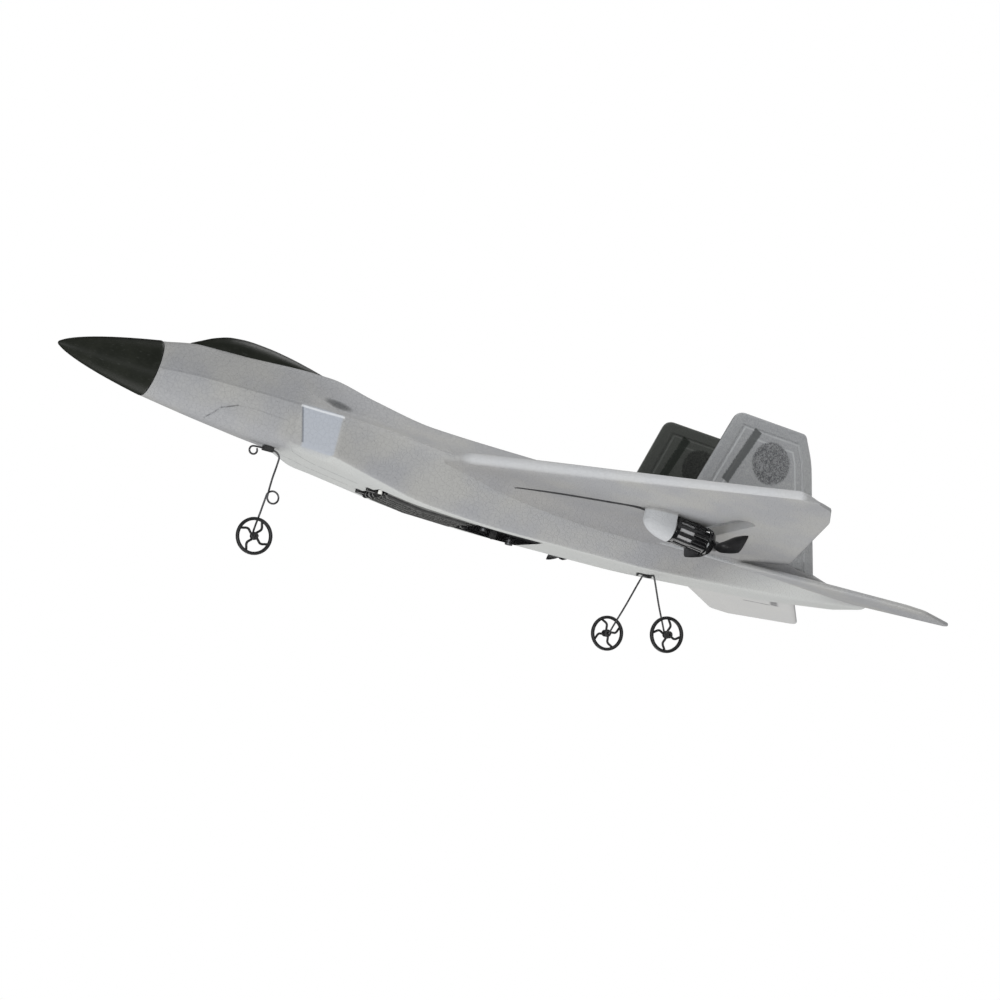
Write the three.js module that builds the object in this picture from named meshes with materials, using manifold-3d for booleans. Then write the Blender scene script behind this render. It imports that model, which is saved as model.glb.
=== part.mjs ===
// A foam twin-motor RC jet: moulded foam airframe, two pusher motors that
// turn their propellers in slots through the wing, and a bent-wire undercarriage.
//
// Millimetres. The airframe is drawn in its own datum: +X runs aft from the tip
// of the nose, +Y to starboard, +Z up from the nose tip. The exported group moves
// that datum so that the model stands on its wheels at z = 0, centred on x and y.

import * as THREE from 'three';
import { mergeVertices } from 'three/addons/utils/BufferGeometryUtils.js';
import Module from 'manifold-3d';

// ---- driving dimensions ----
const modelLength = 350;
const wheelRadius = 7;
const axleHeight = -49.8;
const gap = 0.3;

const coneLength = 35.2;
const coneRadius = 10.67;
const coneWall = 1.2;
const coneSocket = 9;
const coneCentre = -0.15;
const coneRake = 0.13;

const wingRoot = 30;
const wingTip = 133.5;
const wingLeadStart = { x: 145, y: 32 };
const wingSweep = 0.87;

const motorSide = 60;
const hubHeight = -17;
const motorTilt = THREE.MathUtils.degToRad(6.5);
const motorFront = 220.5;
const motorLength = 18.5;
const motorRadius = 4.2;
const holderFront = 223;
const holderLength = 16.9;
const holderRadius = 4.75;
const shaftRadius = 0.5;
const fairingFront = 211.5;
const fairingRear = 222.3;
const fairingRadius = 5.5;

const propPlane = 241.8;
const propRadius = 23;
const slotFront = 237.6;
const slotRear = 246.2;
const slotInner = 34.6;
const slotOuter = 83.6;

const gearWire = 0.36;
const mainWireDrop = 0.6;
const noseAxleX = 87.2;
const mainAxleX = 247.7;
const mainWheelSide = 25.6;
const hubHalf = 1;
const axleEnd = 2.6;
const noseWheelTurn = 63;
const mainWheelTurns = { left: 85, right: 25 };
const collarSide = 0.85;

const bayFront = 128;
const bayRear = 193;
const bayHalfWidth = 11;
const bayTop = -8;
const trayWall = 1.2;
const divider = 168;
const flangeDepth = 0.8;
const coverDepth = 0.8;
const hingeX = 128.4;
const flangeReach = 1.7;
const flangeFront = bayFront - 1.6;
const flangeRear = bayRear + 2;
const flangeTop = 1.5;
const flangeLow = flangeTop - flangeDepth;
const coverTop = flangeLow - gap;
const coverLow = coverTop - coverDepth;
const prongFront = 124;
const prongSide = 5.5;
const prongRadius = 1.1;

// ---- solids ----
const wasm = await Module();
wasm.setup();

function signedVolume(geometry) {
  const p = geometry.attributes.position;
  const index = geometry.index;
  const a = new THREE.Vector3();
  const b = new THREE.Vector3();
  const c = new THREE.Vector3();
  let volume = 0;
  for (let i = 0; i < index.count; i += 3) {
    a.fromBufferAttribute(p, index.getX(i));
    b.fromBufferAttribute(p, index.getX(i + 1));
    c.fromBufferAttribute(p, index.getX(i + 2));
    volume += a.dot(b.cross(c)) / 6;
  }
  return volume;
}

// Shared vertices only, with every face pointing out.
function closed(geometry) {
  const bare = geometry.clone();
  bare.deleteAttribute('normal');
  bare.deleteAttribute('uv');
  const merged = mergeVertices(bare, 1e-4);
  if (signedVolume(merged) < 0) {
    const index = merged.index;
    for (let i = 0; i < index.count; i += 3) {
      const second = index.getX(i + 1);
      index.setX(i + 1, index.getX(i + 2));
      index.setX(i + 2, second);
    }
  }
  return merged;
}

function solidOf(geometry) {
  const merged = closed(geometry);
  return new wasm.Manifold(new wasm.Mesh({
    numProp: 3,
    vertProperties: new Float32Array(merged.attributes.position.array),
    triVerts: new Uint32Array(merged.index.array),
  }));
}

function geometryOf(solid) {
  const mesh = solid.getMesh();
  const geometry = new THREE.BufferGeometry();
  geometry.setAttribute('position', new THREE.BufferAttribute(mesh.vertProperties, 3));
  geometry.setIndex(new THREE.BufferAttribute(mesh.triVerts, 1));
  return geometry;
}

function join(...geometries) {
  return geometryOf(geometries.map(solidOf).reduce((whole, piece) => whole.add(piece)));
}

function cut(geometry, ...cutters) {
  const whole = solidOf(geometry);
  return geometryOf(cutters.map(solidOf).reduce((rest, cutter) => rest.subtract(cutter), whole));
}

function mirrored(geometry) {
  return closed(geometry.clone().scale(1, -1, 1));
}

// ---- shapes ----
// A skin through sections with equal numbers of points, closed by a flat cap at each end.
function loft(sections, flatten) {
  const count = sections[0].length;
  const points = sections.flat();
  const faces = [];
  for (let i = 0; i < sections.length - 1; i++) {
    for (let j = 0; j < count; j++) {
      const a = i * count + j;
      const b = i * count + (j + 1) % count;
      faces.push(a, b, b + count, a, b + count, a + count);
    }
  }
  for (const section of [0, sections.length - 1]) {
    const outline = sections[section].map(flatten);
    const sameWay = THREE.ShapeUtils.isClockWise(outline) ? -1 : 1;
    for (const triangle of THREE.ShapeUtils.triangulateShape(outline, [])) {
      const way = THREE.ShapeUtils.area(triangle.map((corner) => outline[corner])) * sameWay;
      const corners = triangle.map((corner) => corner + section * count);
      faces.push(...((way > 0) === (section > 0) ? corners : corners.reverse()));
    }
  }
  const geometry = new THREE.BufferGeometry().setFromPoints(points);
  geometry.setIndex(faces);
  return geometry;
}

const alongX = (point) => new THREE.Vector2(point.y, point.z);
const alongY = (point) => new THREE.Vector2(point.x, point.z);

function box(low, high) {
  const size = high.map((value, axis) => value - low[axis]);
  const centre = high.map((value, axis) => (value + low[axis]) / 2);
  return new THREE.BoxGeometry(...size).translate(...centre);
}

// A bar of round section about the X axis, from one x to another.
function rodX(radius, from, to, y, z, sides = 24, rearRadius = radius) {
  const bar = new THREE.CylinderGeometry(rearRadius, radius, to - from, sides);
  return bar.rotateZ(-Math.PI / 2).translate((from + to) / 2, y, z);
}

function rodY(radius, from, to, x, z, sides = 24) {
  const bar = new THREE.CylinderGeometry(radius, radius, to - from, sides);
  return bar.translate(x, (from + to) / 2, z);
}

function rodZ(radius, from, to, x, y, sides = 24) {
  const bar = new THREE.CylinderGeometry(radius, radius, to - from, sides);
  return bar.rotateX(Math.PI / 2).translate(x, y, (from + to) / 2);
}

function wire(points, radius, steps, sides = 8) {
  const section = new THREE.Shape();
  section.absarc(0, 0, radius, 0, 2 * Math.PI);
  const outline = new THREE.Shape(section.getSpacedPoints(sides).slice(0, sides));
  const path = new THREE.CatmullRomCurve3(points, false, 'centripetal');
  return new THREE.ExtrudeGeometry(outline, { extrudePath: path, steps, bevelEnabled: false });
}

const runningFit = 0.08;
const at = (x, y, z) => new THREE.Vector3(x, y, z);
const blend = THREE.MathUtils.lerp;

// Straight-line reading of a list of [input, value] pairs.
function along(pairs, input) {
  const next = pairs.findIndex(([x]) => x >= input);
  if (next === 0) return pairs[0][1];
  if (next < 0) return pairs[pairs.length - 1][1];
  const [x0, y0] = pairs[next - 1];
  const [x1, y1] = pairs[next];
  return blend(y0, y1, (input - x0) / (x1 - x0));
}

// ---- nose cone ----
// Radius of the cone's outside at a distance behind its tip.
function coneProfile(x) {
  const share = x / coneLength;
  return coneRadius * Math.pow(share, 0.66) * (1.06 - 0.06 * share);
}

// Leans a shape's upright planes, the top aft, by a share that depends on x.
function raked(geometry, share) {
  const p = geometry.attributes.position;
  for (let i = 0; i < p.count; i++) {
    p.setX(i, p.getX(i) + coneRake * p.getZ(i) * share(p.getX(i)));
  }
  return geometry;
}

function noseCone() {
  const outside = [[0, 0.05], [0.8, 0.4]];
  for (const x of [1.6, 4, 8, 14, 21, 29, coneLength]) {
    outside.push([coneProfile(x), x]);
  }
  const inside = [[coneRadius - coneWall, coneLength]];
  for (const x of [coneLength - coneSocket, 20, 12]) {
    inside.push([coneProfile(x) - coneWall, x]);
  }
  inside.push([0, 8]);
  const profile = [...outside, ...inside].map(([r, x]) => new THREE.Vector2(r, x));
  const cone = new THREE.LatheGeometry(profile, 30).rotateZ(-Math.PI / 2).translate(0, 0, coneCentre);
  return raked(cone, (x) => x / coneLength);
}

// ---- fuselage ----
// Each station gives the starboard half of the hull's section, from the top
// centre to the bottom centre: [half width, height] pairs.
const hullStations = [
  {
    x: 35.5,
    half: [
      [0, 10.3], [6.5, 8.2], [9.4, 4.7], [10.55, -0.4],
      [9.4, -5.05], [7.25, -8.2], [3.7, -10.2], [0, -10.7],
    ],
  },
  {
    x: 50,
    half: [
      [0, 12.6], [6.8, 11.2], [10.4, 6], [13.2, 0.1],
      [12.1, -5], [9.4, -9.6], [4.6, -12.4], [0, -13],
    ],
  },
  {
    x: 64,
    half: [
      [0, 13.2], [7.8, 12], [11.6, 6], [14.8, -0.1],
      [13.8, -6], [11.2, -11], [5.4, -14.2], [0, -14.7],
    ],
  },
  {
    x: 78,
    half: [
      [0, 13.6], [8, 12.4], [12.6, 6], [16.2, -0.3],
      [15.4, -6.6], [12.8, -12], [7, -15.7], [0, -16.1],
    ],
  },
  {
    x: 88.4,
    half: [
      [0, 14], [7.8, 12.6], [13, 5.6], [17.4, -0.6],
      [17, -6], [16, -14.6], [10, -16.4], [0, -16.4],
    ],
  },
  {
    x: 101.5,
    half: [
      [0, 13.9], [7.2, 12.2], [16.4, 0.4], [28, -2.3],
      [28, -3.4], [27, -17.2], [19, -19.2], [0, -19.4],
    ],
  },
  {
    x: 120,
    half: [
      [0, 10.4], [8, 8.6], [18, 0.2], [30.2, -3.6],
      [28.6, -5.8], [22.8, -20.7], [14.5, -22], [0, -22],
    ],
  },
  {
    x: 145,
    half: [
      [0, 6.2], [10.5, 4.7], [20, -0.6], [32, -5.6],
      [29, -8.6], [18.2, -24.4], [14, -25.2], [0, -25.2],
    ],
  },
  {
    x: 185,
    half: [
      [0, 4.8], [12.5, 3.6], [22, -0.6], [31.4, -5.8],
      [29.6, -11], [16.8, -26.1], [13.6, -26.6], [0, -26.6],
    ],
  },
  {
    x: 232,
    half: [
      [0, 4.4], [13.5, 2.8], [22.5, -2], [31.6, -7.2],
      [30, -13], [16.8, -26], [13.6, -26.6], [0, -26.6],
    ],
  },
  {
    x: 270,
    half: [
      [0, 1.6], [14, 0.2], [23, -5], [31.2, -9.6],
      [30, -16], [16.6, -24.5], [13.4, -25], [0, -25],
    ],
  },
  {
    x: 304,
    half: [
      [0, -7.5], [12.5, -8.6], [20, -11], [29, -14.2],
      [28.6, -17.6], [17, -22.2], [13, -22.9], [0, -22.9],
    ],
  },
  {
    x: 321,
    half: [
      [0, -12.5], [11, -13], [17, -14.4], [21.4, -16],
      [21, -18], [16, -20.6], [12.5, -21.1], [0, -21.1],
    ],
  },
  {
    x: 338,
    half: [
      [0, -16], [9, -16.3], [13, -16.8], [15.5, -17.4],
      [15.3, -18], [13, -18.9], [10, -19.2], [0, -19.2],
    ],
  },
];

// A height below every part of the hull, where cuts into the belly start.
const wellBelow = -40;

// Height of the belly's flat strip.
const belly = (x) => along(hullStations.map((station) => [station.x, station.half[7][1]]), x);
const clipWireZ = -17.6;

function hullSection({ x, half }) {
  const starboard = half.map(([y, z]) => at(x, y, z));
  const port = half.slice(1, -1).reverse().map(([y, z]) => at(x, -y, z));
  return [...starboard, ...port];
}

function fuselage() {
  const skin = loft(hullStations.map(hullSection), alongX);
  const hull = raked(skin, (x) => Math.max(0, 1 - (x - coneLength) / 12));
  const stubFront = coneLength - coneSocket + 2 * gap;
  const clear = coneWall + gap;
  const stubRear = coneLength + 0.9;
  const stubTip = coneProfile(stubFront) - clear;
  const stub = rodX(stubTip, stubFront, stubRear, 0, coneCentre, 30, coneRadius - clear);
  const bayWide = bayHalfWidth + gap;
  const bay = box([bayFront - gap, -bayWide, wellBelow], [bayRear + gap, bayWide, bayTop + gap]);
  const wide = bayHalfWidth + flangeReach + gap;
  const recess = bellyStrip(flangeFront - gap, flangeRear + gap, -wide, wide, flangeTop + gap, -9);
  const prongBeds = [-1, 1].map((side) => {
    const y = side * prongSide;
    const half = prongRadius + gap;
    return box([prongFront - gap, y - half, wellBelow], [bayFront, y + half, prongZ() + half]);
  });
  const leadHoles = [-1, 1].map((side) => rodY(1.3, 9, 33, 169, -10.6, 12).scale(1, side, 1));
  const pockets = [wingPanel(gap), stabilatorPanel(gap), finPanel(gap)];
  return cut(
    join(hull, raked(stub, (x) => x / coneLength)),
    canopyForm(gap),
    bay,
    recess,
    ...prongBeds,
    ...leadHoles,
    ...pockets,
    ...pockets.map(mirrored),
  );
}

// ---- canopy ----
// [x, half width, top height]
const canopyStations = [
  [47.6, 1.2, 12.7],
  [51, 4.2, 14.4],
  [56, 6.4, 16.8],
  [62, 7.7, 18.5],
  [68, 8.1, 18.9],
  [76, 7.8, 18.4],
  [85, 6.9, 17.1],
  [93, 5.2, 15.5],
  [99.4, 2.6, 14.1],
];
const canopyBase = 9.2;
const canopySill = 12.2;

function canopyForm(grow = 0) {
  const arcSteps = 8;
  const lastStation = canopyStations.length - 1;
  const sections = canopyStations.map(([station, width, top], order) => {
    const end = order === 0 ? -1 : order === lastStation ? 1 : 0;
    const x = station + end * grow;
    const half = width + grow;
    const crown = top + grow - canopySill;
    const section = [at(x, half, canopyBase - grow)];
    for (let step = 0; step <= arcSteps; step++) {
      const angle = (Math.PI * step) / arcSteps;
      section.push(at(x, half * Math.cos(angle), canopySill + crown * Math.sin(angle)));
    }
    section.push(at(x, -half, canopyBase - grow));
    return section;
  });
  return loft(sections, alongX);
}

// ---- wing ----
const trailLine = [[wingRoot, 271.4], [37, 281], [43, 284.4], [113, 257.5], [129, 248], [133.5, 240]];
const wingStations = [wingRoot, 33, 37, 43, 54, 70, 88, 104, 113, 122, 129, 132, 133.5];

function wingLead(y) {
  if (y < wingLeadStart.y) return wingLeadStart.x - (wingLeadStart.y - y) * 1.33;
  return wingLeadStart.x + (y - wingLeadStart.y) * wingSweep;
}

// Height of the panel's middle surface at a side distance and a share of the chord.
function wingMiddle(y, share) {
  const lead = -6.2 + (y - 32) * 0.034;
  const trail = -14 + (y - 32) * 0.1;
  return blend(lead, trail, share);
}

function wingHalfDepth(y, share, below) {
  const plate = blend(2.7, 1.4, THREE.MathUtils.smoothstep(y, 30, wingTip));
  const fillet = below ? 3.2 * Math.exp(-(y - 29) / 6) * Math.sin(Math.PI * Math.min(share, 1)) : 0;
  const nose = Math.sqrt(Math.min(share / 0.02, 1));
  const taper = blend(1, 0.42, THREE.MathUtils.smoothstep(share, 0.35, 1));
  return plate * nose * taper + fillet;
}

const chordShares = [0, 0.004, 0.02, 0.08, 0.22, 0.42, 0.62, 0.82, 1];

function wingPanel(grow = 0) {
  const stations = grow ? [wingRoot - grow, 33, 37, 43, 54] : wingStations;
  const sections = stations.map((y) => {
    const front = wingLead(Math.max(y, wingRoot));
    const rear = along(trailLine, y);
    const edge = (share, below) => {
      const x = blend(front - grow, rear + grow, share);
      const depth = (wingHalfDepth(y, share, below) + grow) * (below ? -1 : 1);
      return at(x, y, wingMiddle(y, share) + depth);
    };
    const top = chordShares.slice(grow ? 0 : 1).map((share) => edge(share, false));
    const bottom = chordShares.slice(grow ? 0 : 1).reverse().map((share) => edge(share, true));
    return grow ? [...top, ...bottom] : [edge(0, false), ...top, ...bottom];
  });
  return loft(sections, alongY);
}

// Blunt foam nose ahead of the motor: round below, with upright sides that run up into the wing.
function motorFairing() {
  const roof = -7;
  const arcSteps = 14;
  const sections = [0.002, 0.02, 0.06, 0.14, 0.26, 0.42, 0.62, 0.82, 1].map((share) => {
    const x = blend(fairingFront, fairingRear, share);
    const radius = fairingRadius * Math.sqrt(1 - Math.pow(1 - share, 2.2));
    const centre = hubHeight + (propPlane - x) * Math.tan(motorTilt);
    const section = [at(x, motorSide - radius, roof), at(x, motorSide + radius, roof)];
    for (let step = 0; step <= arcSteps; step++) {
      const angle = (-Math.PI * step) / arcSteps;
      section.push(at(x, motorSide + radius * Math.cos(angle), centre + radius * Math.sin(angle)));
    }
    return section;
  });
  return loft(sections, alongX);
}

function propSlot() {
  const middle = (slotFront + slotRear) / 2;
  const half = (slotRear - slotFront) / 2;
  const inner = slotInner + half;
  const outer = slotOuter - half;
  const ends = [inner, outer].map((y) => rodZ(half, -20, 5, middle, y, 16));
  return join(box([slotFront, inner, -20], [slotRear, outer, 5]), ...ends);
}

// Route of the motor lead: out of the hull's side, along the groove, into the fairing.
const leadRoute = [
  at(169, 18, -10.6),
  at(169, 24, -10.6),
  at(169.2, 29, -10.7),
  at(171.5, 31.8, -11.2),
  at(176, 34.6, -11.1),
  at(186, 41.4, -10.7),
  at(200, 51, -10.4),
  at(209, 57.2, -10.4),
  at(213, 59.2, -11.2),
  at(216, 60, -12.8),
];

function motorLead(radius = 0.4) {
  return wire(leadRoute, radius, 20);
}

// Turns a shape drawn along a level motor axis about the propeller's hub, front end up.
function tilted(geometry) {
  return geometry.translate(-propPlane, 0, 0).rotateY(motorTilt);
}

function wing() {
  const panel = join(wingPanel(), motorFairing());
  const underWing = (geometry) => tilted(geometry).translate(propPlane, motorSide, hubHeight);
  const canBore = underWing(rodX(motorRadius + gap, motorFront - 1, holderFront, 0, 0, 28));
  const holderBed = underWing(rodX(holderRadius + 1.1, holderFront - gap, slotFront + 1.5, 0, 0, 28));
  return cut(panel, canBore, holderBed, propSlot(), motorLead(0.7));
}

// ---- stabilator ----
const stabLead = [[22, 262], [30, 270], [76, 316], [77.5, 321]];
const stabTrail = [[22, 326], [30, 331.5], [58, 350], [76, 328], [77.5, 325]];

function stabilatorPanel(grow = 0) {
  const stations = grow ? [22 - grow, 30, 44, 58] : [22, 30, 44, 58, 67, 76, 77.5];
  const sections = stations.map((y) => {
    const front = along(stabLead, y) - grow;
    const rear = along(stabTrail, y) + grow;
    const middle = (x) => -16.6 - (y - 30) * 0.125 - (x - front) * 0.045;
    const half = blend(1.7, 1.1, (y - 22) / 56) + grow;
    const ahead = front + Math.min(3, (rear - front) * 0.35);
    const behind = rear - Math.min(2, (rear - front) * 0.35);
    return [
      at(front, y, middle(front)),
      at(front + 0.8, y, middle(front) + half * 0.8),
      at(ahead, y, middle(ahead) + half),
      at(behind, y, middle(behind) + half * 0.9),
      at(rear, y, middle(rear) + half * 0.5),
      at(rear, y, middle(rear) - half * 0.5),
      at(behind, y, middle(behind) - half * 0.9),
      at(ahead, y, middle(ahead) - half),
      at(front + 0.8, y, middle(front) - half * 0.8),
    ];
  });
  return loft(sections, alongY);
}

// ---- fin ----
const finBase = 27.6;
const finTop = 29.6;
const finDepth = 2.8;

// The side outline, root corner first, from the deck up over the tip and down the rear edge.
function finPanel(grow = 0) {
  const outline = new THREE.Shape();
  outline.moveTo(238.4 - grow, -9.5 - grow);
  outline.lineTo(238.4 - grow, -7);
  outline.lineTo(256 - grow, 37.4);
  outline.quadraticCurveTo(257.2 - grow, 40.6 + grow, 260.6, 40.5 + grow);
  outline.lineTo(287 + grow, 39 + grow);
  outline.lineTo(292.4 + grow, 29);
  outline.lineTo(303.6 + grow, -11);
  outline.lineTo(303.6 + grow, -13.9 - grow);
  outline.closePath();
  const depth = finDepth + 2 * grow;
  const plate = new THREE.ExtrudeGeometry(outline, { depth, bevelEnabled: false, curveSegments: 6 });
  const lean = (finTop - finBase) / 50;
  const place = new THREE.Matrix4().set(
    1, 0, 0, 0,
    0, lean, 1, finBase - finDepth / 2 - grow + lean * 10,
    0, 1, 0, 0,
    0, 0, 0, 1,
  );
  return closed(plate.applyMatrix4(place));
}

// ---- motors and propellers ----
function motorCan() {
  const rear = motorFront + motorLength;
  const can = rodX(motorRadius, motorFront, rear - 0.7, 0, 0, 28);
  const boss = rodX(1.6, rear - 0.8, rear, 0, 0, 16);
  return tilted(cut(join(can, boss), rodX(shaftRadius + 0.07, motorFront + 8, rear + 1, 0, 0, 16)));
}

function motorHolder() {
  const rear = holderFront + holderLength;
  const pieces = [rodX(holderRadius, holderFront, rear - 1.6, 0, 0, 32)];
  pieces.push(rodX(holderRadius + 0.45, rear - 2.6, rear - 1.2, 0, 0, 32));
  pieces.push(rodX(holderRadius + 0.45, holderFront, holderFront + 1.2, 0, 0, 32));
  const ribs = 10;
  for (let rib = 0; rib < ribs; rib++) {
    const low = [holderFront + 0.4, -0.45, holderRadius - 0.4];
    const high = [rear - 1.5, 0.45, holderRadius + 0.38];
    pieces.push(box(low, high).rotateX((2 * Math.PI * (rib + 0.5)) / ribs));
  }
  return tilted(cut(join(...pieces), rodX(motorRadius + 0.05, holderFront - 1, rear + 1, 0, 0, 28)));
}

function motorShaft() {
  return tilted(rodX(shaftRadius, motorFront + 9, propPlane + 2.4, 0, 0, 12));
}

// [radius, chord, pitch angle in degrees, depth]
const bladeStations = [
  [1.2, 3.4, 48, 1.9],
  [3.5, 4.2, 40, 1.5],
  [7, 6.6, 31, 1.1],
  [11.5, 8.2, 24, 0.9],
  [17, 8.3, 18.5, 0.8],
  [22, 7.8, 15.5, 0.7],
  [propRadius - 0.4, 7.2, 14.5, 0.6],
  [propRadius, 6.4, 14.5, 0.4],
];

// The blade's section, leading edge first: [share of the chord, share of the depth].
const bladeSection = [
  [-0.5, 0],
  [-0.32, 0.42],
  [0.05, 0.5],
  [0.38, 0.3],
  [0.5, 0],
  [0.36, -0.26],
  [0, -0.4],
  [-0.34, -0.32],
];

function propBlade() {
  const sections = bladeStations.map(([reach, chord, pitch, depth]) => {
    const angle = THREE.MathUtils.degToRad(pitch);
    return bladeSection.map(([share, rise]) => {
      const c = share * chord;
      const t = rise * depth;
      return at(c * Math.sin(angle) + t * Math.cos(angle), reach, c * Math.cos(angle) - t * Math.sin(angle));
    });
  });
  return loft(sections, (point) => new THREE.Vector2(point.x, point.z));
}

function propeller(hand) {
  const blade = propBlade();
  const hub = rodX(1.9, -1.6, 1.4, 0, 0, 20);
  const cap = rodX(1.3, 1.2, 2.2, 0, 0, 20);
  const whole = join(blade, blade.clone().rotateX(Math.PI), hub, cap);
  const bored = cut(whole, rodX(shaftRadius + 0.05, -3, 3, 0, 0, 16));
  return (hand < 0 ? mirrored(bored) : bored).rotateY(motorTilt);
}

// ---- undercarriage ----
function noseGearWire() {
  const points = [];
  const ring = { x: 79.6, z: -19.2, radius: 1.5, steps: 9, turn: 1.72 * Math.PI };
  for (let step = ring.steps; step >= 0; step--) {
    const angle = Math.PI / 2 - (ring.turn * step) / ring.steps;
    points.push(at(ring.x - ring.radius * Math.cos(angle), 0, ring.z + ring.radius * Math.sin(angle)));
  }
  points.push(at(81.4, 0, clipWireZ), at(84, 0, clipWireZ), at(87.6, 0, clipWireZ));
  points.push(at(89, 0, -18.2), at(89.9, 0, -19.4), at(89.8, 0, -22), at(89.1, 0, -28));
  const coil = { x: 91.1, z: -34.3, radius: 2.3, steps: 16, side: 1.5 };
  for (let step = 0; step <= coil.steps; step++) {
    const angle = Math.PI + (2 * Math.PI * step) / coil.steps;
    const x = coil.x + coil.radius * Math.cos(angle);
    points.push(at(x, (coil.side * step) / coil.steps, coil.z + coil.radius * Math.sin(angle)));
  }
  points.push(at(88.2, 1.9, -40), at(87.3, 2.3, -47.4), at(noseAxleX, 2.2, axleHeight + 0.5));
  for (const y of [1.8, hubHalf + 0.3, -hubHalf, -axleEnd + 0.6, -axleEnd]) {
    points.push(at(noseAxleX, y, axleHeight));
  }
  return wire(points, gearWire, 68);
}

function mainGearWire() {
  const inner = mainWheelSide - hubHalf;
  const bracket = belly(mainAxleX) - mainWireDrop;
  const half = [
    at(mainAxleX, mainWheelSide + axleEnd, axleHeight),
    at(mainAxleX, mainWheelSide + hubHalf, axleHeight),
    at(mainAxleX, inner, axleHeight),
    at(mainAxleX, inner - 0.6, axleHeight),
    at(mainAxleX, inner - 1.2, axleHeight + 0.4),
    at(mainAxleX, inner - 2, axleHeight + 1.6),
    at(mainAxleX, 14.2, -38.4),
    at(mainAxleX, 6, bracket - 1.4),
    at(mainAxleX, 4.8, bracket - 0.2),
    at(mainAxleX, 3.8, bracket),
    at(mainAxleX, 2.4, bracket),
  ];
  const other = half.slice().reverse().map((p) => at(p.x, -p.y, p.z));
  return wire([...half, ...other], gearWire, 48);
}

// A spoke's middle line: [distance from the axle, step to one side].
const spokePath = [
  [1, 0], [1.6, 0], [2.4, -0.3], [3.4, -0.6],
  [4.2, -0.35], [5, 0.3], [5.7, 0.85], [6.2, 1.1],
];

// A thin rim, a hub and four S-shaped spokes in one moulding, about the Y axis.
function wheel(turned) {
  const rimDepth = 0.85;
  const rimInside = wheelRadius - 1.25;
  const profile = [
    [rimInside, -rimDepth],
    [wheelRadius - 0.3, -rimDepth],
    [wheelRadius, -0.4],
    [wheelRadius, 0.4],
    [wheelRadius - 0.3, rimDepth],
    [rimInside, rimDepth],
    [rimInside, -rimDepth],
  ];
  const rim = new THREE.LatheGeometry(profile.map(([r, y]) => new THREE.Vector2(r, y)), 30);
  const hub = rodY(1.5, -hubHalf, hubHalf, 0, 0, 18);
  const pieces = [rim, hub];
  const spokes = 4;
  for (let spoke = 0; spoke < spokes; spoke++) {
    const turn = (2 * Math.PI * spoke) / spokes;
    const left = [];
    const right = [];
    spokePath.forEach(([r, side], order) => {
      const ahead = spokePath[Math.min(order + 1, spokePath.length - 1)];
      const behind = spokePath[Math.max(order - 1, 0)];
      const slope = new THREE.Vector2(ahead[0] - behind[0], ahead[1] - behind[1]).normalize();
      left.push(new THREE.Vector2(r - slope.y * 0.4, side + slope.x * 0.4));
      right.unshift(new THREE.Vector2(r + slope.y * 0.4, side - slope.x * 0.4));
    });
    const outline = new THREE.Shape([...left, ...right]);
    const bar = new THREE.ExtrudeGeometry(outline, { depth: 1, bevelEnabled: false });
    pieces.push(bar.translate(0, 0, -0.5).rotateX(Math.PI / 2).rotateY(turn));
  }
  const whole = cut(join(...pieces), rodY(gearWire + runningFit, -3, 3, 0, 0, 16));
  return whole.rotateY(-THREE.MathUtils.degToRad(turned));
}

function wheelCollar(radius) {
  const half = 0.5;
  return cut(rodY(radius, -half, half, 0, 0, 16), rodY(gearWire + 0.05, -2, 2, 0, 0, 14));
}

// A block glued under the nose, drilled for the wire that lies along the belly.
function noseGearClip() {
  const front = 83;
  const rear = 87;
  const block = box([front, -1.2, clipWireZ - 0.7], [rear, 1.2, belly(front) - gap]);
  return cut(block, rodX(gearWire + runningFit, front - 1, rear + 1, 0, clipWireZ, 12));
}

// A saddle glued under the belly that holds the main wire's bar, with a hook ahead of it.
function mainGearClip() {
  const wireZ = belly(mainAxleX) - mainWireDrop;
  const low = wireZ - 0.8;
  const half = 0.9;
  const hookX = mainAxleX - 5;
  const hookTop = belly(hookX) - 0.15;
  const room = gearWire + runningFit;
  const pieces = [
    box([mainAxleX - half, -1.4, low], [mainAxleX + half, 1.4, belly(mainAxleX - half) - 0.1]),
    box([hookX, -0.5, hookTop - 0.5], [mainAxleX - half + 0.3, 0.5, hookTop]),
    box([hookX, -0.5, low - 0.3], [hookX + 0.6, 0.5, hookTop]),
  ];
  const groove = rodY(room, -5, 5, mainAxleX, wireZ, 12);
  const mouth = box([mainAxleX - room, -5, wireZ], [mainAxleX + room, 5, wireZ + 3]);
  return cut(join(...pieces), groove, mouth);
}

// ---- equipment bay ----
// A plate or block that follows the belly, between two offsets from it or up to a level roof.
function bellyStrip(from, to, left, right, high, low, roof) {
  const inside = hullStations.map(({ x }) => x).filter((x) => x > from && x < to);
  const sections = [from, ...inside, to].map((x) => {
    const top = roof ?? belly(x) + high;
    const bottom = belly(x) + low;
    return [at(x, left, bottom), at(x, right, bottom), at(x, right, top), at(x, left, top)];
  });
  return loft(sections, alongX);
}

const hingeZ = () => belly(hingeX) + coverLow - 0.3;
const prongZ = () => belly(hingeX) + 0.2;

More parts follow.
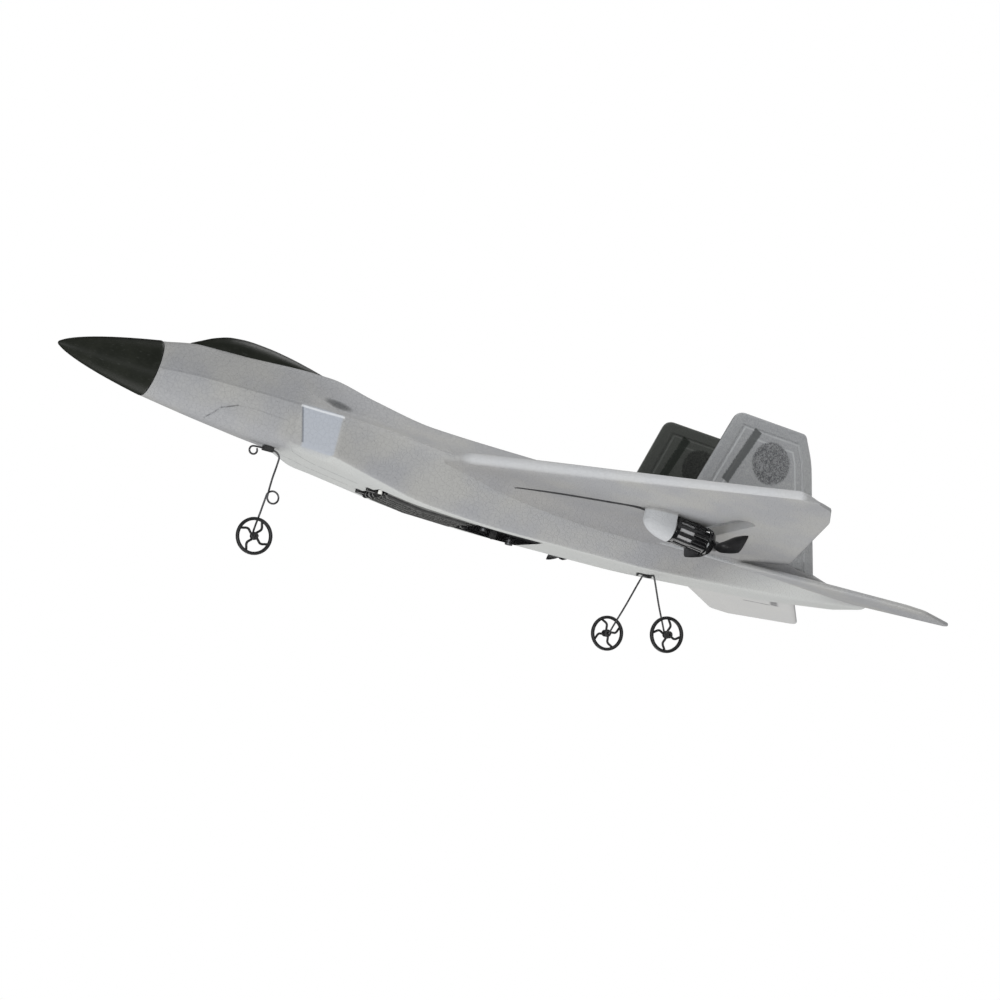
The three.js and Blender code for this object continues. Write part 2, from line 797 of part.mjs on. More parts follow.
function equipmentTray() {
  const wide = bayHalfWidth + flangeReach;
  const inner = bayHalfWidth - trayWall;
  const pieces = [
    bellyStrip(bayFront, bayRear, -bayHalfWidth, bayHalfWidth, 0, flangeLow, bayTop),
    bellyStrip(flangeFront, flangeRear, -wide, wide, flangeTop, flangeLow),
  ];
  const cutters = [rodY(0.5 + runningFit, -9, 9, hingeX, hingeZ(), 12)];
  for (const side of [-1, 1]) {
    const y = side * prongSide;
    pieces.push(rodY(1.2, y - 1.2, y + 1.2, hingeX, hingeZ(), 14));
    pieces.push(rodX(prongRadius, prongFront, hingeX, y, prongZ(), 14));
    pieces.push(box([hingeX - 1, y - 1.1, hingeZ()], [hingeX + 1, y + 1.1, belly(hingeX) + flangeTop - 0.2]));
    cutters.push(rodX(0.6, prongFront - 1, prongFront + 4, y, prongZ(), 10));
    cutters.push(rodY(1.3, side > 0 ? 8 : -12, side > 0 ? 12 : -8, 169, -10.6, 12));
  }
  const rooms = [[hingeX + 2, divider - 0.6], [divider + 0.6, bayRear - trayWall]];
  cutters.push(...rooms.map(([from, to]) => bellyStrip(from, to, -inner, inner, 0, -3, bayTop - trayWall)));
  cutters.push(box([divider - 2, -3, -15], [divider + 2, 3, -12]));
  return cut(join(...pieces), ...cutters);
}

function batteryCover() {
  const front = hingeX + 2;
  const rear = divider - 0.4;
  const half = bayHalfWidth + 0.6;
  const pieces = [bellyStrip(front, rear, -half, half, coverTop, coverLow)];
  const ribs = 5;
  for (let rib = 0; rib < ribs; rib++) {
    const y = (rib - (ribs - 1) / 2) * 4;
    pieces.push(bellyStrip(front + 1, rear - 3, y - 0.7, y + 0.7, coverLow + 0.2, coverLow - 0.8));
  }
  pieces.push(rodY(1.2, -4, 4, hingeX, hingeZ(), 14));
  pieces.push(box([hingeX, -4, hingeZ() - 0.5], [front + 0.6, 4, hingeZ() + 0.4]));
  pieces.push(bellyStrip(rear - 1.6, rear, -3, 3, coverLow + 0.2, coverLow - 1));
  return cut(join(...pieces), rodY(0.5 + runningFit, -9, 9, hingeX, hingeZ(), 12));
}

function receiverCover() {
  const half = bayHalfWidth + 0.6;
  const plate = bellyStrip(divider + 0.2, bayRear + 1.4, -half, half, coverTop, coverLow);
  const slot = box([switchX - 2.9, -1, -40], [switchX + 2.9, 1, -20]);
  const holes = coverScrews.map(([x, y]) => rodZ(0.85, -40, -20, x, y, 12));
  return cut(plate, slot, ...holes);
}

const coverScrews = [[172, -8.6], [190.6, 8.6]];

function coverScrew() {
  const head = rodZ(1.5, -0.8, 0, 0, 0, 16);
  const shank = rodZ(0.6, -0.1, 1.1, 0, 0, 12);
  const crossed = [box([-0.2, -1, -1], [0.2, 1, -0.45]), box([-1, -0.2, -1], [1, 0.2, -0.45])];
  return cut(join(head, shank), ...crossed);
}

const switchX = 181;
const switchLift = 0.9;

function switchBody() {
  const low = belly(switchX) + switchLift;
  const body = box([switchX - 4.5, -2.2, low], [switchX + 4.5, 2.2, low + 4]);
  const groove = box([switchX - 2.9, -1, low - 1], [switchX + 2.9, 1, low + 1.3]);
  return cut(body, groove);
}

function switchSlider() {
  const low = belly(switchX) + switchLift;
  return join(
    box([switchX - 2.5, -0.7, low - 2.4], [switchX - 0.1, 0.7, low + 0.9]),
    box([switchX - 1.7, -0.85, low - 2.9], [switchX - 0.9, 0.85, low - 2.3]),
  );
}

function battery() {
  const outline = new THREE.Shape();
  outline.absarc(7.4, 1.4, 1.4, -Math.PI / 2, 0);
  outline.absarc(7.4, 3.6, 1.4, 0, Math.PI / 2);
  outline.absarc(-7.4, 3.6, 1.4, Math.PI / 2, Math.PI);
  outline.absarc(-7.4, 1.4, 1.4, Math.PI, 1.5 * Math.PI);
  const pouch = new THREE.ExtrudeGeometry(outline, { depth: 33, bevelEnabled: false, curveSegments: 4 });
  const upright = new THREE.Matrix4().set(0, 0, 1, 131.5, 1, 0, 0, 0, 0, 1, 0, -14.6, 0, 0, 0, 1);
  return pouch.applyMatrix4(upright);
}

function receiverBoard() {
  return join(
    box([170, -8, -11.8], [190.5, 8, -10.8]),
    box([173, -3, -12.9], [179, 3, -11.7]),
    box([182, 1.5, -12.6], [186, 5.5, -11.7]),
    box([182.5, -6.5, -13.4], [188, -2.5, -11.7]),
  );
}

// ---- the model ----
const airframe = new THREE.Group();
airframe.position.set(-modelLength / 2, 0, wheelRadius - axleHeight);

function add(name, geometry, color, roughness, metalness, position = [0, 0, 0]) {
  const material = new THREE.MeshStandardMaterial({ color, roughness, metalness });
  const mesh = new THREE.Mesh(closed(geometry), material);
  mesh.name = name;
  mesh.position.set(...position);
  airframe.add(mesh);
}

const foamGrey = 0x9c9ca0;
const coneBlack = 0x23241f;
const mouldBlack = 0x131313;
const wireSteel = 0x5c5d60;
const canSilver = 0xb8b8ba;

add('nose_cone', noseCone(), coneBlack, 0.4, 0);
add('canopy', canopyForm(), coneBlack, 0.35, 0);
add('fuselage', fuselage(), foamGrey, 0.6, 0);
add('nose_gear_wire', noseGearWire(), wireSteel, 0.35, 0.9);
add('main_gear_wire', mainGearWire(), wireSteel, 0.35, 0.9);
add('nose_gear_clip', noseGearClip(), mouldBlack, 0.4, 0);
add('main_gear_clip', mainGearClip(), mouldBlack, 0.4, 0);
add('nose_wheel', wheel(noseWheelTurn), mouldBlack, 0.4, 0, [noseAxleX, 0, axleHeight]);
const noseCollarY = -hubHalf - collarSide;
add('nose_wheel_collar', wheelCollar(1), mouldBlack, 0.4, 0, [noseAxleX, noseCollarY, axleHeight]);

add('equipment_tray', equipmentTray(), mouldBlack, 0.12, 0);
add('battery_cover', batteryCover(), mouldBlack, 0.12, 0);
add('cover_hinge_pin', rodY(0.5, -6.6, 6.6, hingeX, hingeZ(), 10), wireSteel, 0.3, 0.9);
add('battery', battery(), canSilver, 0.5, 0.3);
add('receiver_board', receiverBoard(), 0x1d5a34, 0.5, 0);
add('receiver_cover', receiverCover(), mouldBlack, 0.12, 0);
add('power_switch_body', switchBody(), mouldBlack, 0.5, 0);
add('power_switch_slider', switchSlider(), mouldBlack, 0.5, 0);
coverScrews.forEach(([x, y], order) => {
  add(`cover_screw_${order + 1}`, coverScrew(), wireSteel, 0.3, 0.9, [x, y, belly(x) + coverLow - 0.1]);
});
add('status_lens', rodZ(0.8, -1, 0.4, 0, 0, 12), 0xf2f2ee, 0.2, 0, [hingeX - 0.4, -9.4, belly(hingeX)]);

for (const [side, hand] of [['left', -1], ['right', 1]]) {
  const handed = (geometry) => (hand < 0 ? mirrored(geometry) : geometry);
  add(`${side}_wing`, handed(wing()), foamGrey, 0.6, 0);
  add(`${side}_stabilator`, handed(stabilatorPanel()), foamGrey, 0.6, 0);
  add(`${side}_fin`, handed(finPanel()), foamGrey, 0.65, 0);
  add(`${side}_motor_lead`, handed(motorLead()), mouldBlack, 0.45, 0);
  add(`${side}_motor`, motorCan(), canSilver, 0.3, 0.9, [propPlane, hand * motorSide, hubHeight]);
  add(`${side}_motor_holder`, motorHolder(), mouldBlack, 0.15, 0, [propPlane, hand * motorSide, hubHeight]);
  add(`${side}_motor_shaft`, motorShaft(), canSilver, 0.3, 0.9, [propPlane, hand * motorSide, hubHeight]);
  add(`${side}_propeller`, propeller(hand), mouldBlack, 0.35, 0, [propPlane, hand * motorSide, hubHeight]);
  add(`${side}_wheel`, wheel(mainWheelTurns[side]), mouldBlack, 0.4, 0, [mainAxleX, hand * mainWheelSide, axleHeight]);
  const collarY = hand * (mainWheelSide + hubHalf + collarSide);
  add(`${side}_wheel_collar`, wheelCollar(1.4), mouldBlack, 0.4, 0, [mainAxleX, collarY, axleHeight]);
}

export default airframe;
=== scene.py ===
import math

import bmesh
import bpy
import numpy as np
from mathutils import Matrix, Vector


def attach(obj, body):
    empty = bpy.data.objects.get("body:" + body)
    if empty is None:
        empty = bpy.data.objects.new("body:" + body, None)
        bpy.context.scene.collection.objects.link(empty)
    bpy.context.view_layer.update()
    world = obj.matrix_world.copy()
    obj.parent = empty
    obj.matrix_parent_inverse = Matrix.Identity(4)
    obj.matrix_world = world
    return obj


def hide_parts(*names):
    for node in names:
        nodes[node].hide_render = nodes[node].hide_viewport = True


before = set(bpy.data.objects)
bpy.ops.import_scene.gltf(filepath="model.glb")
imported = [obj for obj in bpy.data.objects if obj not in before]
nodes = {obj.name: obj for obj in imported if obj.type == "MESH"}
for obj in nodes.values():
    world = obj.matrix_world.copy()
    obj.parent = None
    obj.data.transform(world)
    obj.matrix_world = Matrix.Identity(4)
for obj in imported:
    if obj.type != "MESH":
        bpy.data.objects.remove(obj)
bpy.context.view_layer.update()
print("frame loaded")

# The airframe is drawn in millimetres from the tip of the nose: x aft, y to
# starboard, z up. place() turns such a point into the frame's metres.
datum = {"shiftX": -175.0, "shiftZ": 56.8}


def place(x, y, z):
    return Vector(((x + datum["shiftX"]) / 1000, y / 1000, (z + datum["shiftZ"]) / 1000))


# shader expressions
class Sock:
    # one socket of a node tree, or a plain number, that can be added, multiplied and so on
    def __init__(self, look, socket):
        self.look = look
        self.socket = socket

    def maths(self, operation, *others):
        values = dict(enumerate((self, *others)))
        return self.look.node("Math", {"operation": operation}, values)

    def __add__(self, other):
        return self.maths("ADD", other)

    def __radd__(self, other):
        return self.maths("ADD", other)

    def __sub__(self, other):
        return self.maths("SUBTRACT", other)

    def __rsub__(self, other):
        return self.look.node("Math", {"operation": "SUBTRACT"}, {0: other, 1: self})

    def __mul__(self, other):
        return self.maths("MULTIPLY", other)

    def __truediv__(self, other):
        return self.maths("DIVIDE", other)

    def __neg__(self):
        return self.maths("MULTIPLY", -1.0)

    def __pow__(self, other):
        return self.maths("POWER", other)

    def least(self, other):
        return self.maths("MINIMUM", other)

    def most(self, other):
        return self.maths("MAXIMUM", other)

    def size(self):
        return self.maths("ABSOLUTE")

    def ramp(self, low, high):
        # 0 below low, 1 above high, smooth between; low may be the larger one
        settings = {"interpolation_type": "SMOOTHSTEP"}
        if low < high:
            return self.look.node("MapRange", settings, {"Value": self, "From Min": low, "From Max": high})
        rising = self.look.node("MapRange", settings, {"Value": self, "From Min": high, "From Max": low})
        return 1 - rising


class Look:
    # a material under construction
    def __init__(self, name):
        self.material = bpy.data.materials.new(name)
        self.material.use_nodes = True
        self.tree = self.material.node_tree
        self.tree.nodes.clear()

    def node(self, kind, settings=None, sockets=None, out=0):
        made = self.tree.nodes.new("ShaderNode" + kind)
        for name, value in (settings or {}).items():
            setattr(made, name, value)
        for key, value in (sockets or {}).items():
            target = made.inputs[key]
            if isinstance(value, Sock):
                self.tree.links.new(value.socket, target)
            else:
                target.default_value = value
        return Sock(self, made.outputs[out] if made.outputs else None)

    def mix(self, share, low, high):
        low = (*low, 1) if isinstance(low, tuple) else low
        high = (*high, 1) if isinstance(high, tuple) else high
        return self.node("Mix", {"data_type": "RGBA"}, {0: share, 6: low, 7: high}, out=2)

    def tint(self, share, base, color):
        # multiplies a colour where share is 1
        return self.node("Mix", {"data_type": "RGBA", "blend_type": "MULTIPLY"},
                         {0: share, 6: base, 7: (*color, 1)}, out=2)

    def coords(self):
        # the surface point in the airframe's millimetres
        spot = self.node("TexCoord", out=3)
        terms = {0: spot, 1: (1000, 1000, 1000), 2: (-datum["shiftX"], 0, -datum["shiftZ"])}
        return self.node("VectorMath", {"operation": "MULTIPLY_ADD"}, terms)

    def axes(self, vector):
        apart = self.node("SeparateXYZ", sockets={0: vector})
        parts = apart.socket.node.outputs
        return Sock(self, parts[0]), Sock(self, parts[1]), Sock(self, parts[2])

    def noise(self, spot, scale, detail=2.0, roughness=0.5, distortion=0.0):
        return self.node("TexNoise", sockets={"Vector": spot, "Scale": scale, "Detail": detail,
                                              "Roughness": roughness, "Distortion": distortion})

    def cells(self, spot, scale, feature="F1"):
        return self.node("TexVoronoi", {"feature": feature}, {"Vector": spot, "Scale": scale})

    def stretched(self, spot, scale):
        return self.node("VectorMath", {"operation": "MULTIPLY"}, {0: spot, 1: scale})

    def bump(self, height, strength, distance):
        return self.node("Bump", sockets={"Height": height, "Strength": strength, "Distance": distance})

    def finish(self, color, roughness, normal, **fixed):
        sockets = {"Base Color": color, "Roughness": roughness, "Normal": normal}
        sockets.update({name.replace("_", " "): value for name, value in fixed.items()})
        surface = self.node("BsdfPrincipled", sockets=sockets)
        self.node("OutputMaterial", sockets={"Surface": surface})
        return self.material


# finishes
foamGrey = {"base": (0.255, 0.258, 0.266), "warm": (0.29, 0.288, 0.278), "bead": 0.55, "roughness": 0.62}


def foamSurface(look, spot, settings):
    # moulded foam: soft cloudiness, fused beads, a fine skin grain and a few open pits with painted shade in
    # them
    cloud = look.noise(spot, 0.045, 3.0)
    fine = look.noise(spot, 1.9, 3.0, 0.6)
    beads = look.cells(spot, settings["bead"], "DISTANCE_TO_EDGE")
    seams = beads.ramp(0.09, 0.0)
    pitField = look.cells(spot, settings["bead"] * 1.7)
    sparse = look.noise(spot, 0.16, 2.0).ramp(0.48, 0.62)
    pits = pitField.ramp(0.17, 0.08) * sparse
    base = look.mix(cloud.ramp(0.35, 0.7), settings["base"], settings["warm"])
    base = look.tint(fine.ramp(0.3, 0.75) * 0.5, base, (0.8, 0.8, 0.81))
    base = look.tint(seams * 0.16, base, (0.62, 0.62, 0.64))
    # painted shade: the open pits are painted darker
    base = look.tint(pits * 0.55, base, (0.45, 0.45, 0.46))
    height = fine * 0.35 - seams * 0.5 - pits * 1.3
    roughness = settings["roughness"] + (fine - 0.5) * 0.18 + pits * 0.2
    return base, height, roughness


def strokeAxes(across, along, start, end):
    # distances along and beside the line from start to end, and its length
    (u0, v0), (u1, v1) = start, end
    length = math.hypot(u1 - u0, v1 - v0)
    du, dv = (u1 - u0) / length, (v1 - v0) / length
    forward = (across - u0) * du + (along - v0) * dv
    aside = ((across - u0) * dv - (along - v0) * du).size()
    return forward, aside, length


def strokeMask(across, along, points, width):
    # 1 on a line through points, drawn in the plane of two coordinates
    nearest = None
    for start, end in zip(points, points[1:]):
        forward, aside, length = strokeAxes(across, along, start, end)
        away = aside.most((forward - length).most(-forward).most(0.0))
        nearest = away if nearest is None else nearest.least(away)
    return nearest.ramp(width, width * 0.35)


hullLook = {
    "nosePanel": [(57.2, -13.0), (60.5, -9.0), (66.0, -6.9)],
    "nosePanelFaint": [(66.0, -6.9), (72.0, -6.6), (84.4, -7.6)],
    "chine": [(36.0, -0.4), (50.0, 0.1), (64.0, -0.1), (78.0, -0.3), (88.2, -0.7)],
    "gearPanel": [(89.0, -13.5), (92.0, -8.0), (97.0, -6.0), (120.0, -5.5)],
    "intakeRimHighlight": [(88.6, -1.2), (95.0, -2.2), (101.4, -3.0)],
    "intakeLipShadow": [(88.7, -1.4), (91.2, -14.0)],
    "patch": (103.0, 3.0, 6.0, 1.8),
}


def hullMaterial():
    look = Look("hullFoam")
    spot = look.coords()
    x, y, z = look.axes(spot)
    base, height, roughness = foamSurface(look, spot, foamGrey)
    side = y.size()
    below = z.ramp(-2.0, -6.0)
    nosePanel = strokeMask(x, z, hullLook["nosePanel"], 0.36) * below
    faint = strokeMask(x, z, hullLook["nosePanelFaint"], 0.3) * below * 0.22
    nosePanel = nosePanel.most(faint)
    belly = z.ramp(-15.8, -18.5) * side.ramp(17.0, 15.0)
    gearPanel = strokeMask(x, -side, hullLook["gearPanel"], 0.42) * belly
    lines = nosePanel.most(gearPanel)
    worn = look.noise(spot, 0.5, 3.0).ramp(0.36, 0.5)
    # a soft dark patch on the side above the intake
    px, pz, wide, tall = hullLook["patch"]
    patch = ((x - px) / wide) ** 2.0 + ((z - pz + (x - px) * 0.12) / tall) ** 2.0
    darkPatch = patch.ramp(1.2, 0.1) * side.ramp(9.0, 12.0) * z.ramp(-1.6, 0.6)
    facing = look.axes(look.node("NewGeometry", out=1))
    # painted light: the belly's downward faces are painted paler, as if lit from below
    bellyPaintedLight = facing[2].ramp(-0.78, -0.96) * x.ramp(86.0, 92.0)
    base = look.mix(bellyPaintedLight * 0.8, base, (0.4, 0.408, 0.398))
    # painted shade: the rear hull side under the wing, on faces not turned straight down, is painted darker
    aft = x.ramp(215.0, 262.0) * facing[2].ramp(-0.96, -0.8) * x.ramp(325.0, 300.0)
    base = look.tint(aft * 0.8, base, (0.72, 0.715, 0.71))
    # painted shade: the nose is painted darker above its chine, and a painted shade line along the chine
    # shows as a soft crease
    above = z.ramp(-0.5, 0.7) * x.ramp(112.0, 90.0)
    base = look.tint(above * 0.55, base, (0.76, 0.765, 0.77))
    # painted shade along the chine, which the bump also sinks in
    crease = strokeMask(x, z, hullLook["chine"], 0.5) * side.ramp(9.0, 10.0)
    base = look.tint(crease * 0.3, base, (0.5, 0.5, 0.52))
    base = look.tint(darkPatch * 0.9, base, (0.28, 0.29, 0.29))
    # the intake's slanted front: painted light makes its forward-facing face paler and cooler, with a painted
    # highlight along the upper rim and a painted shadow along the inner lip
    # painted light on the intake's forward-facing face
    litSlant = facing[0].ramp(-0.3, -0.5) * (x + (z + 1.2) * 0.2).ramp(88.2, 88.9)
    within = side.ramp(16.0, 16.8) * z.ramp(-0.4, -1.6) * x.ramp(102.0, 100.5)
    # painted highlight along the intake's upper rim
    rim = strokeMask(x, z, hullLook["intakeRimHighlight"], 0.55) * side.ramp(16.0, 17.0)
    # painted shadow along the intake's inner lip
    lipShadow = strokeMask(x, z, hullLook["intakeLipShadow"], 0.45) * side.ramp(15.0, 16.0)
    base = look.mix(litSlant * within * 0.8, base, (0.295, 0.316, 0.355))
    base = look.tint(lipShadow * 0.75, base, (0.4, 0.41, 0.43))
    base = look.mix(rim * 0.6, base, (0.6, 0.61, 0.62))
    base = look.tint(lines * worn * 0.6, base, (0.2, 0.2, 0.21))
    normal = look.bump(height - lines * 2.0 - crease * 1.5, 0.45, 0.00035)
    return look.finish(base, roughness, normal, IOR=1.45, Specular_IOR_Level=0.4)


wingLook = {"edge": (0.46, 0.465, 0.475), "pod": (0.37, 0.378, 0.39), "shade": (0.74, 0.732, 0.728)}


def wingMaterial():
    # moulded panel: a painted highlight along the leading edge, a pale motor pod and painted shade on the
    # underside near the root
    look = Look("wingFoam")
    spot = look.coords()
    x, y, z = look.axes(spot)
    base, height, roughness = foamSurface(look, spot, foamGrey)
    side = y.size()
    facing = look.axes(look.node("NewGeometry", out=1))
    behind = x - 145.0 - (side - 32.0) * 0.87
    # painted highlight along the leading edge
    edge = behind.ramp(2.4, 0.3) * side.ramp(33.0, 38.0)
    pod = x.ramp(210.9, 211.6) * x.ramp(223.0, 222.0) * side.ramp(53.9, 54.4) * side.ramp(66.1, 65.6)
    pod = pod * (z + 10.4).ramp(0.1, -0.5)
    # painted shade on the underside near the root
    under = facing[2].ramp(-0.4, -0.8) * side.ramp(75.0, 36.0) * (1 - pod)
    base = look.tint(under * 0.9, base, wingLook["shade"])
    base = look.mix(edge * 0.6, base, wingLook["edge"])
    base = look.mix(pod * 0.85, base, wingLook["pod"])
    normal = look.bump(height, 0.4, 0.00035)
    return look.finish(base, roughness - edge * 0.15, normal, Specular_IOR_Level=0.45)


tailMark = {"line": [(314.0, 41.8), (322.9, 36.4)], "block": [(318.9, 26.0), (324.0, 34.0)]}


def stabilatorMaterial():
    # foam; the starboard tailplane's underside is painted paler, as painted light from below, with a thin
    # printed line and a small dark block
    look = Look("tailplaneFoam")
    spot = look.coords()
    x, y, z = look.axes(spot)
    base, height, roughness = foamSurface(look, spot, {**foamGrey, "bead": 0.65})
    side = y.size()
    under = look.axes(look.node("NewGeometry", out=1))[2].ramp(-0.3, -0.6)
    # painted light: the starboard tailplane's downward faces are painted paler
    base = look.mix(under * y.ramp(0.0, 2.0) * 0.75, base, (0.41, 0.408, 0.4))
    line = strokeMask(x, side, tailMark["line"], 0.6)
    block = strokeMask(x, side, tailMark["block"], 2.3)
    worn = look.noise(spot, 0.9, 3.0).ramp(0.3, 0.48)
    ink = line.most(block * 0.75) * under * worn * y.ramp(0.0, 1.0)
    base = look.mix(ink * 0.85, base, (0.05, 0.05, 0.055))
    return look.finish(base, roughness, look.bump(height, 0.3, 0.00035), Specular_IOR_Level=0.4)


finLook = {
    "outer": (0.345, 0.352, 0.36),
    "inner": (0.06, 0.065, 0.058),
    "stripe": ((266.4, 35.2), (256.6, 13.0), 1.7),
    "disc": (274.6, 24.0, 8.2),
    "border": [[(244.5, -9.0), (260.4, 35.0), (284.8, 33.8), (287.9, 27.8), (298.0, -9.0)],
               [(249.2, -6.0), (263.4, 31.6), (282.9, 30.6), (284.8, 26.6), (293.4, -6.0)]],
}


def finMaterial():
    # printed fin: a light outer face, an olive inner face, a stripe and a plain mottled disc on both
    look = Look("finFoam")
    spot = look.coords()
    x, y, z = look.axes(spot)
    base, height, roughness = foamSurface(look, spot, {**foamGrey, "base": finLook["outer"],
                                                       "warm": (0.36, 0.365, 0.365), "bead": 0.8})
    weave = look.noise(look.stretched(spot, (1.0, 1.0, 0.55)), 2.6, 4.0, 0.75)
    speck = weave.ramp(0.4, 0.62)
    outward = look.axes(look.node("NewGeometry", out=1))[1] * y
    inner = outward.ramp(0.2, -0.2)
    base = look.tint(speck * 0.4, base, (0.62, 0.63, 0.64))
    base = look.mix(inner, base, look.mix(speck * 0.35, finLook["inner"], (0.085, 0.09, 0.082)))
    for ring in finLook["border"]:
        line = strokeMask(x, z, ring, 0.5) * (weave.ramp(0.25, 0.5) * 0.5 + 0.5)
        base = look.mix(line * 0.55, base, look.mix(inner, (0.5, 0.51, 0.52), (0.13, 0.138, 0.128)))
    start, end, half = finLook["stripe"]
    forward, aside, length = strokeAxes(x, z, start, end)
    wander = (weave - 0.5) * 2.2
    stripe = (aside + wander).ramp(half + 0.25, half - 0.25) * forward.ramp(-0.2, 0.3)
    stripe = stripe * forward.ramp(length + 0.3, length - 0.2)
    cx, cz, radius = finLook["disc"]
    away = ((x - cx) ** 2.0 + (z - cz) ** 2.0) ** 0.5
    disc = (away + wander * 1.4).ramp(radius + 0.4, radius - 0.4)
    swirl = look.noise(spot, 0.6, 4.0, 0.75, 2.6).ramp(0.44, 0.56)
    dark = look.mix(swirl, (0.07, 0.073, 0.078), (0.24, 0.245, 0.25))
    darkInner = look.mix(swirl, (0.018, 0.02, 0.018), (0.04, 0.043, 0.038))
    printed = look.mix(inner, dark, darkInner)
    base = look.mix(disc * 0.9, base, printed)
    solid = look.mix(inner, (0.085, 0.09, 0.09), (0.016, 0.022, 0.016))
    base = look.mix(stripe * (1 - disc) * 0.9, base, solid)
    height = height + speck * 0.9 + disc * swirl * 0.5
    normal = look.bump(height, 0.55, 0.0004)
    return look.finish(base, roughness + inner * 0.05, normal, Specular_IOR_Level=0.35)


coneLook = {"base": (0.0105, 0.012, 0.009), "dust": (0.024, 0.026, 0.021), "roughness": 0.33}


def coneMaterial(name, roughness):
    # dark olive moulded shell, a little dusty, rubbed on its tip and rims
    look = Look(name)
    spot = look.coords()
    cloud = look.noise(spot, 0.11, 4.0, 0.6)
    grain = look.noise(spot, 3.5, 2.0)
    dust = look.noise(spot, 0.9, 5.0, 0.7).ramp(0.5, 0.75)
    scratch = look.noise(look.stretched(spot, (0.12, 1.6, 1.6)), 1.3, 3.0, 0.6).ramp(0.62, 0.7)
    edge = look.node("NewGeometry", out=7).ramp(0.53, 0.6)
    base = look.mix(cloud.ramp(0.3, 0.75), coneLook["base"], (0.015, 0.0165, 0.0125))
    base = look.mix(dust * 0.28, base, coneLook["dust"])
    base = look.mix(scratch * 0.2 + edge * 0.25, base, (0.085, 0.088, 0.08))
    rough = roughness + cloud * 0.12 + dust * 0.15 + scratch * 0.1
    normal = look.bump(grain * 0.3 + cloud * 1.5, 0.12, 0.0003)
    return look.finish(base, rough, normal, Specular_IOR_Level=0.15)


def mouldedMaterial(name, base, worn, roughness, coat=0.0, ribPitch=0.0):
    # black injection-moulded plastic with a faint grain, dust and rubbed corners
    look = Look(name)
    spot = look.coords()
    cloud = look.noise(spot, 0.35, 3.0)
    fine = look.noise(spot, 2.8, 3.0, 0.6)
    edge = look.node("NewGeometry", out=7).ramp(0.53, 0.62)
    dust = look.noise(spot, 1.3, 4.0, 0.65).ramp(0.55, 0.72)
    color = look.mix(cloud.ramp(0.3, 0.7), base, tuple(1.5 * part for part in base))
    color = look.mix(edge * 0.3 + dust * 0.12, color, worn)
    if ribPitch:
        # painted highlights: lighter grey crests along the ribs
        across = look.axes(spot)[1] / ribPitch + 0.5
        crestHighlight = (across.maths("FRACT") - 0.5).size().ramp(0.2, 0.14)
        color = look.mix(crestHighlight * (0.35 + cloud * 0.5), color, (0.3, 0.3, 0.29))
    rough = roughness + cloud * 0.1 + dust * 0.22
    normal = look.bump(fine, 0.1, 0.0002)
    return look.finish(color, rough, normal, Coat_Weight=coat, Coat_Roughness=0.06)


def metalMaterial(name, base, shade, roughness, streaks, metal=1.0):
    # drawn or turned metal with fine streaks and tarnish
    look = Look(name)
    spot = look.coords()
    streak = look.noise(look.stretched(spot, streaks), 2.4, 4.0, 0.7)
    cloud = look.noise(spot, 0.5, 3.0)
    color = look.mix(streak.ramp(0.3, 0.7), shade, base)
    color = look.tint(cloud.ramp(0.5, 0.75) * 0.4, color, (0.7, 0.66, 0.6))
    rough = roughness + streak * 0.18 + cloud * 0.08
    return look.finish(color, rough, look.bump(streak, 0.14, 0.0001), Metallic=metal)


def wrapMaterial():
    # shrink film over the cell: crinkles and a printed band
    look = Look("cellWrap")
    spot = look.coords()
    x = look.axes(spot)[0]
    crinkle = look.noise(spot, 0.7, 5.0, 0.7, 1.4)
    band = x.ramp(136.0, 136.5) * x.ramp(142.0, 141.5)
    color = look.mix(crinkle.ramp(0.35, 0.7), (0.36, 0.37, 0.39), (0.46, 0.47, 0.49))
    color = look.mix(band, color, (0.05, 0.07, 0.16))
    return look.finish(color, 0.32 + crinkle * 0.2, look.bump(crinkle, 0.3, 0.0004), Metallic=0.35)


def boardMaterial():
    # lacquered circuit board: tracks, pads and dark chips
    look = Look("boardLacquer")
    spot = look.coords()
    z = look.axes(spot)[2]
    tracks = look.cells(spot, 0.9, "DISTANCE_TO_EDGE").ramp(0.1, 0.04)
    chips = z.ramp(-11.95, -12.1)
    color = look.mix(tracks * 0.55, (0.008, 0.075, 0.03), (0.03, 0.16, 0.07))
    color = look.mix(chips, color, (0.016, 0.016, 0.017))
    grain = look.noise(spot, 3.0, 3.0)
    return look.finish(color, 0.3 + grain * 0.15, look.bump(tracks * 0.5 + grain * 0.2, 0.25, 0.0002))


def lensMaterial():
    look = Look("lensWhite")
    spot = look.coords()
    haze = look.noise(spot, 1.2, 3.0)
    color = look.mix(haze.ramp(0.3, 0.7), (0.78, 0.78, 0.74), (0.88, 0.88, 0.84))
    return look.finish(color, 0.18 + haze * 0.12, look.bump(haze, 0.08, 0.0002))


hullFoam = hullMaterial()
panelFoam = wingMaterial()
tailplaneFoam = stabilatorMaterial()
finFoam = finMaterial()
conePlastic = coneMaterial("conePlastic", coneLook["roughness"])
canopyPlastic = coneMaterial("canopyPlastic", 0.38)
wheelPlastic = mouldedMaterial("wheelPlastic", (0.013, 0.013, 0.0135), (0.06, 0.06, 0.06), 0.36)
trayPlastic = mouldedMaterial("trayPlastic", (0.007, 0.007, 0.0075), (0.04, 0.04, 0.042), 0.09, coat=0.5)
coverPlastic = mouldedMaterial("coverPlastic", (0.007, 0.007, 0.0075), (0.04, 0.04, 0.042), 0.12,
                               coat=0.4, ribPitch=4.0)
holderPlastic = mouldedMaterial("holderPlastic", (0.006, 0.006, 0.0065), (0.05, 0.05, 0.052), 0.07,
                                coat=0.6)
propPlastic = mouldedMaterial("propPlastic", (0.010, 0.010, 0.0105), (0.05, 0.05, 0.05), 0.25)
